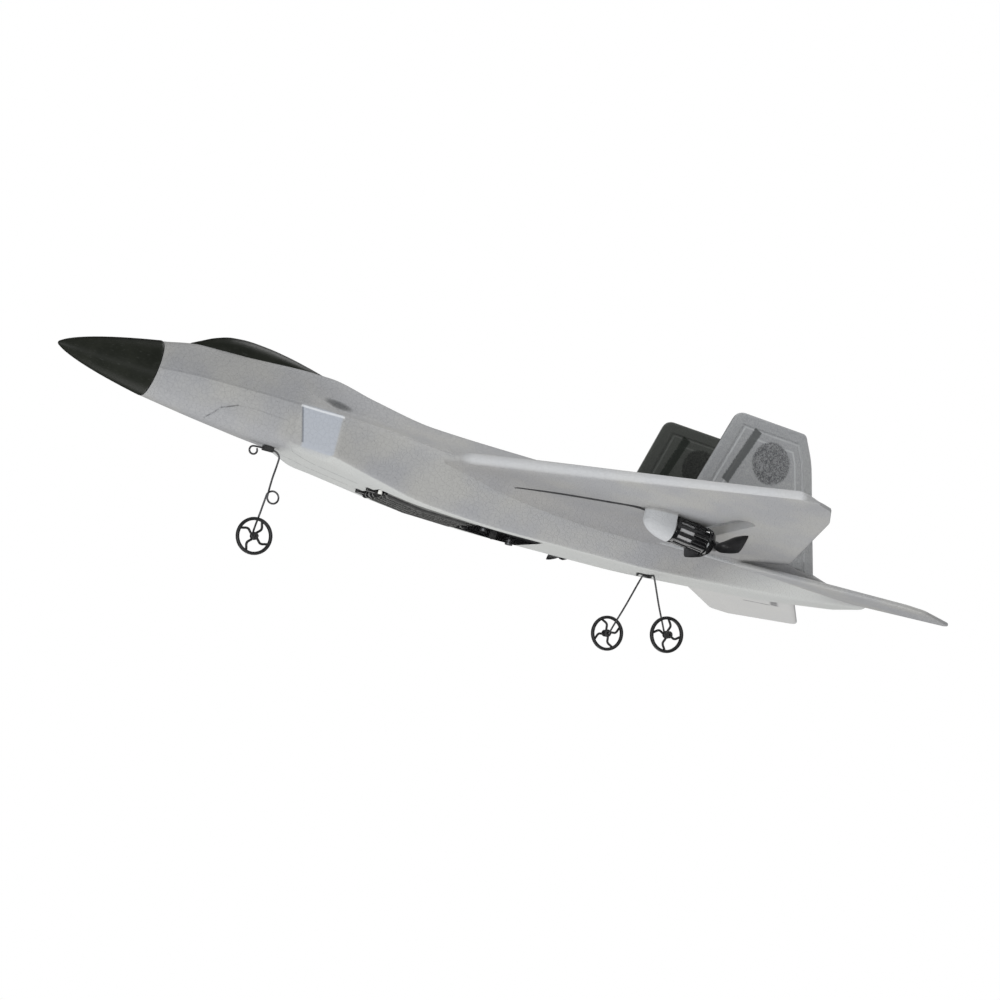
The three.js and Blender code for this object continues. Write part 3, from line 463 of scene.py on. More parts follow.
switchPlastic = mouldedMaterial("switchPlastic", (0.015, 0.015, 0.0155), (0.07, 0.07, 0.07), 0.38)
leadSleeve = mouldedMaterial("leadSleeve", (0.014, 0.014, 0.0145), (0.05, 0.05, 0.05), 0.34)
gearSteel = metalMaterial("gearSteel", (0.26, 0.26, 0.265), (0.12, 0.12, 0.125), 0.3, (1.0, 1.0, 0.12))
canSteel = metalMaterial("canSteel", (0.62, 0.62, 0.63), (0.5, 0.5, 0.51), 0.24, (0.1, 1.0, 1.0), 0.35)
cellWrap = wrapMaterial()
boardLacquer = boardMaterial()
lensWhite = lensMaterial()
print("finishes made")


# shape helpers
def flowing(xs, ys):
    # a smooth curve through points that never swings past them
    xs = np.array(xs, float)
    ys = np.array(ys, float)
    step = np.diff(xs)
    slope = np.diff(ys) / step
    lean = np.zeros(len(xs))
    lean[0] = slope[0]
    lean[-1] = slope[-1]
    for i in range(1, len(xs) - 1):
        if slope[i - 1] * slope[i] > 0:
            near = 2 * step[i] + step[i - 1]
            far = step[i] + 2 * step[i - 1]
            lean[i] = (near + far) / (near / slope[i - 1] + far / slope[i])

    def read(x):
        i = int(np.clip(np.searchsorted(xs, x) - 1, 0, len(xs) - 2))
        t = float(np.clip((x - xs[i]) / step[i], 0, 1))
        rise = ys[i + 1] - ys[i]
        start = step[i] * lean[i]
        stop = step[i] * lean[i + 1]
        return ys[i] + t * (start + t * (3 * rise - 2 * start - stop + t * (start + stop - 2 * rise)))

    return read


def between(pairs, value):
    return float(np.interp(value, [pair[0] for pair in pairs], [pair[1] for pair in pairs]))


def eased(pairs, value, reach):
    # straight lines between pairs, with their corners rounded over reach
    offsets = np.linspace(-reach, reach, 9)
    weights = 1 - (offsets / (reach * 1.001)) ** 2
    values = [between(pairs, value + offset) for offset in offsets]
    return float(np.dot(values, weights) / weights.sum())


def skinned(rings, capped=True):
    count = len(rings[0])
    points = [point for ring in rings for point in ring]
    faces = []
    for row in range(len(rings) - 1):
        for j in range(count):
            a = row * count + j
            b = row * count + (j + 1) % count
            faces.append((a, b, b + count, a + count))
    if capped:
        faces.append(tuple(reversed(range(count))))
        last = (len(rings) - 1) * count
        faces.append(tuple(range(last, last + count)))
    return points, faces


def rawPiece(name, shape, material=None):
    points, faces = shape
    mesh = bpy.data.meshes.new(name)
    mesh.from_pydata([place(*point) for point in points], [], faces)
    if material:
        mesh.materials.append(material)
    made = bpy.data.objects.new(name, mesh)
    bpy.context.scene.collection.objects.link(made)
    shaper = bmesh.new()
    shaper.from_mesh(mesh)
    bmesh.ops.remove_doubles(shaper, verts=shaper.verts, dist=1e-7)
    bmesh.ops.recalc_face_normals(shaper, faces=shaper.faces)
    shaper.to_mesh(mesh)
    shaper.free()
    return made


def carve(piece, cutter, operation="DIFFERENCE"):
    step = piece.modifiers.new("carve", "BOOLEAN")
    step.operation = operation
    step.solver = "EXACT"
    step.object = cutter
    bpy.context.view_layer.update()
    graph = bpy.context.evaluated_depsgraph_get()
    result = bpy.data.meshes.new_from_object(piece.evaluated_get(graph))
    piece.modifiers.remove(step)
    piece.data = result
    bpy.data.objects.remove(cutter)


def settle(piece, body, finish, *stands, sharp=34):
    # shading, body and the nodes that the piece stands for; the finish it is given is not used
    for polygon in piece.data.polygons:
        polygon.use_smooth = True
    piece.data.set_sharp_from_angle(angle=math.radians(sharp))
    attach(piece, body)
    if stands:
        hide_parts(*stands)
    return piece


def flipped(shape, side):
    points, faces = shape
    return [(x, y * side, z) for x, y, z in points], faces


def turned(profile, centre, axis="x", segments=64):
    # a closed profile of (radius, distance along the axis) turned about the axis
    cx, cy, cz = centre
    rings = []
    for radius, reach in profile:
        ring = []
        for step in range(segments):
            angle = 2 * math.pi * step / segments
            first, second = radius * math.cos(angle), radius * math.sin(angle)
            if axis == "x":
                ring.append((cx + reach, cy + first, cz + second))
            else:
                ring.append((cx + first, cy + reach, cz + second))
        rings.append(ring)
    return skinned(rings)


def splined(points, steps):
    # a smooth path through points, steps to each span
    guide = [Vector(point) for point in points]
    guide = [2 * guide[0] - guide[1], *guide, 2 * guide[-1] - guide[-2]]
    path = []
    for i in range(1, len(guide) - 2):
        before, start, stop, after = guide[i - 1:i + 3]
        knots = [0.0]
        for a, b in ((before, start), (start, stop), (stop, after)):
            knots.append(knots[-1] + max((b - a).length, 1e-6) ** 0.5)
        for step in range(steps):
            t = knots[1] + (knots[2] - knots[1]) * step / steps

            def pull(p, q, low, high):
                return p * ((high - t) / (high - low)) + q * ((t - low) / (high - low))

            a = pull(before, start, knots[0], knots[1])
            b = pull(start, stop, knots[1], knots[2])
            c = pull(stop, after, knots[2], knots[3])
            low = pull(a, b, knots[0], knots[2])
            high = pull(b, c, knots[1], knots[3])
            path.append(pull(low, high, knots[1], knots[2]))
    path.append(guide[-2])
    return path


def tube(path, radius, sides=14):
    # a round bar along a path
    path = [Vector(point) for point in path]
    rings = []
    heading = (path[1] - path[0]).normalized()
    side = heading.orthogonal().normalized()
    for i, point in enumerate(path):
        ahead = path[min(i + 1, len(path) - 1)]
        behind = path[max(i - 1, 0)]
        heading = (ahead - behind).normalized()
        side = (side - heading * side.dot(heading)).normalized()
        other = heading.cross(side)
        ring = []
        for step in range(sides):
            angle = 2 * math.pi * step / sides
            outward = math.cos(angle) * side + math.sin(angle) * other
            ring.append(tuple(point + radius * outward))
        rings.append(ring)
    return skinned(rings)


def joined(*shapes):
    points = []
    faces = []
    for shapePoints, shapeFaces in shapes:
        offset = len(points)
        points += list(shapePoints)
        faces += [tuple(index + offset for index in face) for face in shapeFaces]
    return points, faces


# hull
hull = {
    "ringStep": 1.6,
    "spanPoints": 10,
    "rake": 0.13,
    "rakeStart": 35.2,
    "rakeReach": 12,
    "lipSoftness": {"front": 0.25, "rear": 1.2},
    "stations": [
        (35.5, [(0, 10.3), (6.5, 8.2), (9.4, 4.7), (10.55, -0.4),
                (9.4, -5.05), (7.25, -8.2), (3.7, -10.2), (0, -10.7)]),
        (50, [(0, 12.6), (6.8, 11.2), (10.4, 6), (13.2, 0.1),
              (12.1, -5), (9.4, -9.6), (4.6, -12.4), (0, -13)]),
        (64, [(0, 13.2), (7.8, 12), (11.6, 6), (14.8, -0.1),
              (13.8, -6), (11.2, -11), (5.4, -14.2), (0, -14.7)]),
        (78, [(0, 13.6), (8, 12.4), (12.6, 6), (16.2, -0.3),
              (15.4, -6.6), (12.8, -12), (7, -15.7), (0, -16.1)]),
        (88.4, [(0, 14), (7.8, 12.6), (13, 5.6), (17.4, -0.6),
                (17, -6), (16, -14.6), (10, -16.4), (0, -16.4)]),
        (101.5, [(0, 13.9), (7.2, 12.2), (16.4, 0.4), (28, -2.3),
                 (28, -3.4), (27, -17.2), (19, -19.2), (0, -19.4)]),
        (120, [(0, 10.4), (8, 8.6), (18, 0.2), (30.2, -3.6),
               (28.6, -5.8), (22.8, -20.7), (14.5, -22), (0, -22)]),
        (145, [(0, 6.2), (10.5, 4.7), (20, -0.6), (32, -5.6),
               (29, -8.6), (18.2, -24.4), (14, -25.2), (0, -25.2)]),
        (185, [(0, 4.8), (12.5, 3.6), (22, -0.6), (31.4, -5.8),
               (29.6, -11), (16.8, -26.1), (13.6, -26.6), (0, -26.6)]),
        (232, [(0, 4.4), (13.5, 2.8), (22.5, -2), (31.6, -7.2),
               (30, -13), (16.8, -26), (13.6, -26.6), (0, -26.6)]),
        (270, [(0, 1.6), (14, 0.2), (23, -5), (31.2, -9.6),
               (30, -16), (16.6, -24.5), (13.4, -25), (0, -25)]),
        (304, [(0, -7.5), (12.5, -8.6), (20, -11), (29, -14.2),
               (28.6, -17.6), (17, -22.2), (13, -22.9), (0, -22.9)]),
        (321, [(0, -12.5), (11, -13), (17, -14.4), (21.4, -16),
               (21, -18), (16, -20.6), (12.5, -21.1), (0, -21.1)]),
        (338, [(0, -16), (9, -16.3), (13, -16.8), (15.5, -17.4),
               (15.3, -18), (13, -18.9), (10, -19.2), (0, -19.2)]),
    ],
    # how sharp each of the eight lines is along the hull, 0 round to 1 folded
    "sharpness": [
        (35.5, [0, 0, 0, 0, 0, 0, 0, 0]),
        (50, [0, 0.1, 0.1, 0.5, 0.1, 0.1, 0.1, 0]),
        (78, [0, 0.3, 0.3, 0.8, 0.2, 0.3, 0.4, 0]),
        (88.4, [0, 0.4, 0.7, 0.9, 0.7, 0.8, 0.8, 0.6]),
        (101.5, [0, 0.5, 0.9, 1, 1, 0.9, 0.9, 0.9]),
        (304, [0, 0.4, 0.6, 0.9, 0.7, 0.6, 0.7, 0.8]),
        (338, [0, 0.2, 0.2, 0.4, 0.4, 0.2, 0.2, 0.2]),
    ],
    "nodeEnd": 338,
}
lipFront, lipRear = 88.4, 101.5


def hullTracks():
    # a reader for every coordinate of the half section; lines 2 to 7 fold at the intake's two lips
    xs = [station for station, half in hull["stations"]]
    readers = []
    for line in range(8):
        pair = []
        for axis in range(2):
            values = [half[line][axis] for station, half in hull["stations"]]
            if line < 2:
                pair.append(flowing(xs, values))
                continue
            parts = []
            for low, high in ((xs[0], lipFront), (lipFront, lipRear), (lipRear, xs[-1])):
                chosen = [i for i, x in enumerate(xs) if low <= x <= high]
                parts.append(flowing([xs[i] for i in chosen], [values[i] for i in chosen]))
            pair.append(lambda x, parts=parts: parts[0 if x < lipFront else 1 if x < lipRear else 2](x))
        readers.append(pair)
    return readers


hullReaders = hullTracks()


def hullHalf(x):
    return [(pair[0](x), pair[1](x)) for pair in hullReaders]


def softHalf(x):
    # rounds the two lips of the intake over a small distance
    reach = hull["lipSoftness"]["front" if x < 95 else "rear"]
    if min(abs(x - lipFront), abs(x - lipRear)) > reach:
        return hullHalf(x)
    samples = [hullHalf(x + share * reach) for share in (-1, -0.5, 0, 0.5, 1)]
    weights = (0.12, 0.24, 0.28, 0.24, 0.12)
    mixed = []
    for line in range(8):
        y = sum(weight * sample[line][0] for weight, sample in zip(weights, samples))
        z = sum(weight * sample[line][1] for weight, sample in zip(weights, samples))
        mixed.append((y, z))
    return mixed


def hullRing(x):
    half = softHalf(x)
    corners = half + [(-y, z) for y, z in reversed(half[1:-1])]
    folds = [between([(s, row[line]) for s, row in hull["sharpness"]], x) for line in range(8)]
    folds = folds + list(reversed(folds[1:-1]))
    count = len(corners)
    ring = []
    for i in range(count):
        start, stop = Vector(corners[i]), Vector(corners[(i + 1) % count])
        before, after = Vector(corners[i - 1]), Vector(corners[(i + 2) % count])
        edge = stop - start
        leaving = ((stop - before) * 0.5).lerp(edge, folds[i])
        arriving = ((after - start) * 0.5).lerp(edge, folds[(i + 1) % count])
        if i in (0, count - 1):
            limit = edge.length / max(leaving.length, 1e-6)
            leaving = leaving * min(1, limit)
        for step in range(hull["spanPoints"]):
            t = step / hull["spanPoints"]
            h = (2 * t ** 3 - 3 * t ** 2 + 1, t ** 3 - 2 * t ** 2 + t,
                 3 * t ** 2 - 2 * t ** 3, t ** 3 - t ** 2)
            ring.append(h[0] * start + h[1] * leaving + h[2] * stop + h[3] * arriving)
    for _ in range(2):
        size = len(ring)
        ring = [ring[i] * 0.6 + (ring[i - 1] + ring[(i + 1) % size]) * 0.2 for i in range(size)]
    lean = hull["rake"] * max(0.0, 1 - (x - hull["rakeStart"]) / hull["rakeReach"])
    return [(x + lean * point.y, point.x, point.y) for point in ring]


def hullStops():
    stops = []
    x = hull["stations"][0][0]
    while x < hull["nodeEnd"] - 0.8:
        stops.append(x)
        near = min(abs(x - lipFront), abs(x - lipRear))
        x += 0.35 if near < 2.6 else hull["ringStep"]
    return [*stops, hull["nodeEnd"] - 0.8, hull["nodeEnd"] - 0.3, hull["nodeEnd"]]


def bellyHeight(x):
    return between([(station, half[7][1]) for station, half in hull["stations"]], x)


def strip(start, end, wide, high, low, roof=None):
    # a cutter that follows the belly between two offsets
    stops = [start, *[s for s, half in hull["stations"] if start < s < end], end]
    rings = []
    for x in stops:
        top = roof if roof is not None else bellyHeight(x) + high
        bottom = bellyHeight(x) + low
        rings.append([(x, -wide, bottom), (x, wide, bottom), (x, wide, top), (x, -wide, top)])
    return skinned(rings)


hullCuts = {
    "bay": (127.7, 193.3, 11.3),
    "bayRoof": -7.7,
    "recess": (126.1, 195.3, 13.0),
    "recessTop": 1.8,
    "prong": {"spot": (123.7, 5.5, -23.2), "radius": 1.4, "span": (0, 5)},
    "lead": {"spot": (169, 31, -10.6), "radius": 1.3, "span": (-3.5, 4.5)},
}


def boreShape(cut, side, axis):
    x, y, z = cut["spot"]
    return turned([(cut["radius"], reach) for reach in cut["span"]], (x, side * y, z), axis, 24)


def makeHull():
    rings = [hullRing(x) for x in hullStops()]
    tail = rings[-1]
    centre = (0.0, sum(point[2] for point in tail) / len(tail))
    for index, shrink in ((-1, 0.965), (-2, 0.99)):
        rings[index] = [(x, y * shrink, centre[1] + (z - centre[1]) * shrink) for x, y, z in rings[index]]
    piece = rawPiece("hull", skinned(rings), hullFoam)
    carve(piece, rawPiece("bayCut", strip(*hullCuts["bay"], 0, -14, hullCuts["bayRoof"])))
    carve(piece, rawPiece("recessCut", strip(*hullCuts["recess"], hullCuts["recessTop"], -9)))
    for side in (-1, 1):
        carve(piece, rawPiece("prongCut", boreShape(hullCuts["prong"], side, "x")))
        carve(piece, rawPiece("leadCut", boreShape(hullCuts["lead"], side, "y")))
    return settle(piece, "airframe", "foam_grey", "fuselage")


makeHull()
print("hull made")


# nose cone and canopy
cone = {"length": 35.2, "radius": 10.67, "wall": 1.2, "socket": 9, "centre": -0.15}


def coneRadius(x):
    share = x / cone["length"]
    return cone["radius"] * share ** 0.66 * (1.06 - 0.06 * share)


def makeCone():
    rear, radius, wall = cone["length"], cone["radius"], cone["wall"]
    profile = [(0.02, 0.06), (0.42, 0.2), (0.78, 0.5)]
    stops = [1, 1.6, 2.4, 3.4, 5, 7, 9.5, 12, 15, 18, 21, 24, 27, 30, 32.5, rear - 0.9, rear - 0.4]
    profile += [(coneRadius(x), x) for x in stops]
    profile += [(radius - 0.1, rear - 0.08), (radius - 0.35, rear)]
    profile += [(radius - wall, rear), (radius - wall - 0.4, 30), (4, 20), (0.02, 12)]
    points, faces = turned(profile, (0, 0, cone["centre"]), segments=96)
    leaned = [(x + hull["rake"] * z * x / cone["length"], y, z) for x, y, z in points]
    shell = rawPiece("noseShell", (leaned, faces), conePlastic)
    return settle(shell, "airframe", "cone_black", "nose_cone")


canopy = {
    "base": 9.0,
    "sill": 12.2,
    "stations": [(47.6, 1.2, 12.7), (51, 4.2, 14.4), (56, 6.4, 16.8), (62, 7.7, 18.5), (68, 8.1, 18.9),
                 (76, 7.8, 18.4), (85, 6.9, 17.1), (93, 5.2, 15.5), (99.4, 2.6, 14.1)],
}


def makeCanopy():
    xs = [station[0] for station in canopy["stations"]]
    half = flowing(xs, [station[1] for station in canopy["stations"]])
    top = flowing(xs, [station[2] for station in canopy["stations"]])
    rings = []
    for x in [47.55, 47.8, 48.3, *np.arange(49, 99, 1.0), 99, 99.35]:
        wide = half(x) * (0.4 if x < 47.7 else 1)
        crown = top(x) - canopy["sill"]
        ring = [(x, wide, canopy["base"])]
        for step in range(41):
            angle = math.pi * step / 40
            ring.append((x, wide * math.cos(angle), canopy["sill"] + crown * math.sin(angle) ** 0.93))
        ring.append((x, -wide, canopy["base"]))
        rings.append(ring)
    shell = rawPiece("canopyShell", skinned(rings), canopyPlastic)
    return settle(shell, "airframe", "cone_black", "canopy")


makeCone()
makeCanopy()
print("nose made")


# wings
motor = {
    "front": 223,
    "rear": 239.9,
    "radius": 4.75,
    "canFront": 220.5,
    "canRear": 239.0,
    "propPlane": 241.8,
    "windows": 0.46,  # share of the holder that is open between its bars
    "bars": 10,
    "ribs": 22,
}
wing = {
    "root": 26.5,
    "tip": 133.5,
    "trail": [(26, 271.4), (30, 271.4), (37, 281), (43, 284.4), (113, 257.5), (129, 248), (133.5, 240)],
    "halfDepth": (2.7, 1.4),
    "slot": {"front": 237.6, "rear": 246.2, "inner": 34.6, "outer": 83.6},
    "motorSide": 60,
    "hubHeight": -17,
    "motorTilt": 6.5,
    "fairing": {"front": 211.5, "rear": 222.3, "radius": 5.5, "roof": -7},
}


def smoothStep(value, low, high):
    t = min(max((value - low) / (high - low), 0.0), 1.0)
    return t * t * (3 - 2 * t)


def wingLead(y):
    return 145 + (y - 32) * (0.87 if y > 32 else 1.33)


def wingPoint(y, share, below):
    front = wingLead(y)
    rear = eased(wing["trail"], y, 1.2)
    lead = -6.2 + (y - 32) * 0.034
    trail = -14 + (y - 32) * 0.1
    rise = smoothStep(y, 30, wing["tip"])
    plate = wing["halfDepth"][0] + (wing["halfDepth"][1] - wing["halfDepth"][0]) * rise
    nose = math.sqrt(max(0.0, 1 - (1 - min(share / 0.035, 1)) ** 2))
    taper = 1 - 0.58 * smoothStep(share, 0.35, 1)
    tail = math.sqrt(max(0.0, min((1 - share) / 0.006, 1))) * 0.55 + 0.45
    tipRound = math.sqrt(max(0.0, 1 - max(0.0, (y - wing["tip"] + 1.3) / 1.3) ** 2)) * 0.9 + 0.1
    depth = plate * nose * taper * tail * tipRound
    if below:
        depth += 3.2 * math.exp(-(y - 29) / 6) * math.sin(math.pi * min(share, 1)) * nose
    middle = lead + (trail - lead) * share
    return (front + (rear - front) * share, y, middle - depth if below else middle + depth)


def wingShape():
    shares = [0, 0.0012, 0.0035, 0.008, 0.014, 0.022, 0.032]
    shares += [*np.linspace(0.05, 0.97, 36), 0.985, 0.994, 0.998, 1]
    stops = [*np.linspace(wing["root"], 45, 16), *np.linspace(47, 131, 44)]
    stops += [132, 132.5, 132.9, 133.2, 133.4, 133.5]
    rings = []
    for y in stops:
        top = [wingPoint(y, share, False) for share in shares]
        bottom = [wingPoint(y, share, True) for share in reversed(shares[1:])]
        rings.append(top + bottom)
    return skinned(rings)


def slotShape():
    slot = wing["slot"]
    middle = (slot["front"] + slot["rear"]) / 2
    half = (slot["rear"] - slot["front"]) / 2
    outline = []
    for centre, start in ((slot["outer"] - half, 0), (slot["inner"] + half, math.pi)):
        for step in range(17):
            angle = start + math.pi * step / 16
            outline.append((middle + half * math.cos(angle), centre + half * math.sin(angle)))
    return skinned([[(x, y, -20) for x, y in outline], [(x, y, 4) for x, y in outline]])


def axisHeight(x):
    return wing["hubHeight"] + (motor["propPlane"] - x) * math.tan(math.radians(wing["motorTilt"]))


def fairingShape():
    # a blunt nose, round below, with upright sides that run up into the wing
    form = wing["fairing"]
    middle = wing["motorSide"]
    shares = [0.0015, 0.006, 0.014, 0.03, 0.055, 0.09, 0.14, 0.2, 0.28, 0.38, 0.5, 0.64, 0.78, 0.9, 0.985, 1]
    rings = []
    for share in shares:
        x = form["front"] + (form["rear"] - form["front"]) * share
        radius = form["radius"] * math.sqrt(1 - (1 - share) ** 2.2) - (0.15 if share == 1 else 0)
        ring = [(x, middle - radius, form["roof"]), (x, middle + radius, form["roof"])]
        for step in range(33):
            angle = -math.pi * step / 32
            ring.append((x, middle + radius * math.cos(angle), axisHeight(x) + radius * math.sin(angle)))
        rings.append(ring)
    return skinned(rings)


# out of the hull's side, along the wing's groove and into the fairing
leadRoute = [
    (169, 18, -10.6), (169, 24, -10.6), (169.2, 29, -10.7), (171.5, 31.8, -11.2), (176, 34.6, -11.1),
    (186, 41.4, -10.7), (200, 51, -10.4), (209, 57.2, -10.4), (213, 59.2, -11.2), (216, 60, -12.8),
]


def makeWing(name, side):
    piece = rawPiece(name + "Wing", flipped(wingShape(), side), panelFoam)
    carve(piece, rawPiece("fairing", flipped(fairingShape(), side)), "UNION")
    carve(piece, rawPiece("slotCut", flipped(slotShape(), side)))
    carve(piece, rawPiece("groove", flipped(tube(splined(leadRoute[2:9], 8), 0.7, 16), side)))
    if not piece.data.materials:
        piece.data.materials.append(panelFoam)
    settle(piece, "airframe", "foam_grey", name + "_wing", sharp=40)
    lead = rawPiece(name + "Lead", flipped(tube(splined(leadRoute, 8), 0.4, 14), side), leadSleeve)
    settle(lead, "airframe", "lead_black", name + "_motor_lead")


# tailplanes and fins
def roundedOutline(corners, radii, inset, steps=7):
    # the outline moved in by inset, its corners rounded by what is left of their radii
    count = len(corners)
    area = sum(a[0] * b[1] - b[0] * a[1] for a, b in zip(corners, corners[1:] + corners[:1]))
    way = 1 if area > 0 else -1
    lines = []
    for a, b in zip(corners, corners[1:] + corners[:1]):
        edge = (Vector(b) - Vector(a)).normalized()
        inward = Vector((-edge.y, edge.x)) * way
        lines.append((Vector(a) + inward * inset, edge))
    moved = []
    for i in range(count):
        (p, d), (q, e) = lines[i - 1], lines[i]
        cross = d.x * e.y - d.y * e.x
        moved.append(p + d * (((q - p).x * e.y - (q - p).y * e.x) / cross))
    outline = []
    for i, corner in enumerate(moved):
        reach = max(radii[i] - inset, 0.15)
        start = corner + (moved[i - 1] - corner).normalized() * reach
        stop = corner + (moved[(i + 1) % count] - corner).normalized() * reach
        for step in range(steps + 1):
            t = step / steps
            outline.append(start.lerp(corner, t).lerp(corner.lerp(stop, t), t))
    return outline


def plate(corners, radii, profile, put):
    # a flat moulding: (inset, half depth) pairs lead from the rim to the middle of each face
    rings = []
    for inset, half in reversed(profile):
        rings.append([put(point.x, point.y, half) for point in roundedOutline(corners, radii, inset)])
    for inset, half in profile:
        rings.append([put(point.x, point.y, -half) for point in roundedOutline(corners, radii, inset)])
    return skinned(rings)


fin = {
    "corners": [(235.6, -17), (256.3, 40.5), (287.4, 39.0), (292.4, 29), (305.0, -18)],
    "radii": [0.5, 3.6, 1.6, 4, 0.5],
    "profile": [(0, 0.35), (0.12, 0.8), (0.35, 1.12), (0.75, 1.34), (1.2, 1.4),
                (4.3, 1.4), (4.55, 1.1), (5.2, 1.1), (5.45, 1.4)],
    "foot": 27.6,
    "lean": 0.04,
}
tailplane = {
    "corners": [(262, 22), (270, 30), (317.6, 77.5), (326.6, 77.5), (350, 58), (331.5, 30), (326, 22)],
    "radii": [0.3, 0.5, 2.5, 2.5, 3, 0.5, 0.3],
    "profile": [(0, 0.3), (0.15, 0.62), (0.5, 0.92), (1.4, 1.18), (3, 1.34)],
}


def makeFin(name, side):
    def put(x, z, half):
        return (x, side * (fin["foot"] + fin["lean"] * (z + 10) + half), z)

    shape = plate(fin["corners"], fin["radii"], fin["profile"], put)
    settle(rawPiece(name + "Fin", shape, finFoam), "airframe", "foam_grey", name + "_fin")


def makeTailplane(name, side):
    def put(x, y, half):
        lead = 262 + min(y - 22, 8) + max(y - 30, 0)
        droop = (y - 30) * 0.125 + (x - lead) * 0.045
        return (x, side * y, -16.6 - droop + half * (1 - 0.3 * (y - 22) / 56))

    shape = plate(tailplane["corners"], tailplane["radii"], tailplane["profile"], put)
    piece = rawPiece(name + "Tailplane", shape, tailplaneFoam)
    settle(piece, "airframe", "foam_grey", name + "_stabilator")


for name, side in (("left", -1), ("right", 1)):
    makeWing(name, side)
    makeFin(name, side)
    makeTailplane(name, side)
print("wings and tail made")


# motors and propellers
def holderShape():
    # an end ring, bars with windows between them, then a ribbed sleeve
    front, rear, radius = motor["front"], motor["rear"], motor["radius"]
    sleeve = front + (rear - front) * motor["windows"]
    ring = [(4.28, 0), (radius + 0.1, 0), (radius + 0.4, 0.12), (radius + 0.45, 0.4), (radius + 0.42, 1.3),
            (radius + 0.15, 1.6), (4.28, 1.6), (4.28, 0)]
    tail = [(4.28, 0), (radius - 0.1, 0), (radius, 0.15), (radius, 6.2), (radius + 0.2, 6.5),
            (radius + 0.48, 6.7),
            (radius + 0.48, 7.6), (radius + 0.2, 8.1), (radius - 0.3, rear - sleeve - 0.15),
            (radius - 0.45, rear - sleeve), (4.28, rear - sleeve), (4.28, 0)]
    shapes = []
    for profile, start in ((ring, front), (tail, sleeve)):
        points, faces = turned(profile, (start, 0, 0), segments=96)
        shapes.append((points, faces[:-2]))
    for bar in range(motor["bars"]):
        shapes.append(barShape(bar / motor["bars"], 0.75, (4.3, radius + 0.2), (front + 1, sleeve + 0.6)))
    ribReach, ribSpan = (radius - 0.3, radius + 0.3), (sleeve, rear - 3.4)
    for rib in range(motor["ribs"]):
        shapes.append(barShape((rib + 0.5) / motor["ribs"], 0.26, ribReach, ribSpan))
    return joined(*shapes)


def barShape(share, wide, reach, span):
    # a lengthwise bar on the sleeve at a share of a full turn
    angle = 2 * math.pi * share
    low, high = reach
    corners = [(-wide, low), (-wide, high - 0.14), (-wide * 0.6, high)]
    corners += [(wide * 0.6, high), (wide, high - 0.14), (wide, low)]
    c, s = math.cos(angle), math.sin(angle)
    return skinned([[(x, a * c - b * s, a * s + b * c) for a, b in corners] for x in span])


def moved(shape, side):
    # from the level axis to the tilted one below the wing
    points, faces = shape
    angle = math.radians(wing["motorTilt"])
    c, s = math.cos(angle), math.sin(angle)
    plane = motor["propPlane"]
    tilted = []
    for x, y, z in points:
        back = x - plane
        height = wing["hubHeight"] - back * s + z * c
        tilted.append((plane + back * c + z * s, y + side * wing["motorSide"], height))
    return tilted, faces


propeller = {
    # reach, chord, pitch in degrees, depth
    "stations": [(1.2, 3.4, 48, 1.9), (3.5, 4.2, 40, 1.5), (7, 6.6, 31, 1.1), (11.5, 8.2, 24, 0.9),
                 (17, 8.3, 18.5, 0.8), (22, 7.8, 15.5, 0.7), (22.6, 7.2, 14.5, 0.6), (23, 6.4, 14.5, 0.4)],
    # share of the chord, share of the depth
    "section": [(-0.5, 0), (-0.32, 0.42), (0.05, 0.5), (0.38, 0.3),
                (0.5, 0), (0.36, -0.26), (0, -0.4), (-0.34, -0.32)],
}


def bladeShape(turn):
    columns = list(zip(*propeller["stations"]))
    reaches = columns[0]
    chord, pitch, depth = (flowing(reaches, column) for column in columns[1:])
    outline = splined([(a, b, 0) for a, b in propeller["section"] + propeller["section"][:1]], 5)[:-1]
    rings = []
    for reach in [*np.linspace(1.2, 21, 26), 21.7, 22.2, 22.6, 22.85, 23]:
        angle = math.radians(pitch(reach))
        ring = []
        for spot in outline:
            c, t = spot.x * chord(reach), spot.y * depth(reach)
            x = c * math.sin(angle) + t * math.cos(angle)
            z = c * math.cos(angle) - t * math.sin(angle)
            ring.append((x + motor["propPlane"], reach * turn, z * turn))
        rings.append(ring)
    return skinned(rings)


def makeMotor(name, side):
    plane = motor["propPlane"]
    holder = rawPiece(name + "Holder", moved(holderShape(), side), holderPlastic)
    settle(holder, "airframe", "tray_black", name + "_motor_holder", sharp=30)
    front, rear = motor["canFront"], motor["canRear"]
    can = [(0.1, front), (3.9, front), (4.2, front + 0.3), (4.2, rear - 1), (3.9, rear - 0.7),
           (1.6, rear - 0.7), (1.6, rear - 0.1), (1.4, rear), (0.1, rear)]
    can = moved(turned(can, (0, 0, 0), segments=64), side)
    settle(rawPiece(name + "Can", can, canSteel), "airframe", "motor_can", name + "_motor")
    hub = [(0.6, -1.6), (1.75, -1.6), (1.9, -1.4), (1.9, 1.2), (1.7, 1.45),
           (1.3, 1.5), (1.25, 2.0), (1.1, 2.2), (0.6, 2.2)]
    hub = turned([(radius, plane + reach) for radius, reach in hub], (0, 0, 0), segments=48)
    whole = joined(bladeShape(1), bladeShape(-1), hub)
    if side < 0:
        whole = flipped(whole, -1)
    piece = rawPiece(name + "Prop", moved(whole, side), propPlastic)
    settle(piece, name + "_prop", "prop_black", name + "_propeller")


for name, side in (("left", -1), ("right", 1)):
    makeMotor(name, side)
print("motors made")


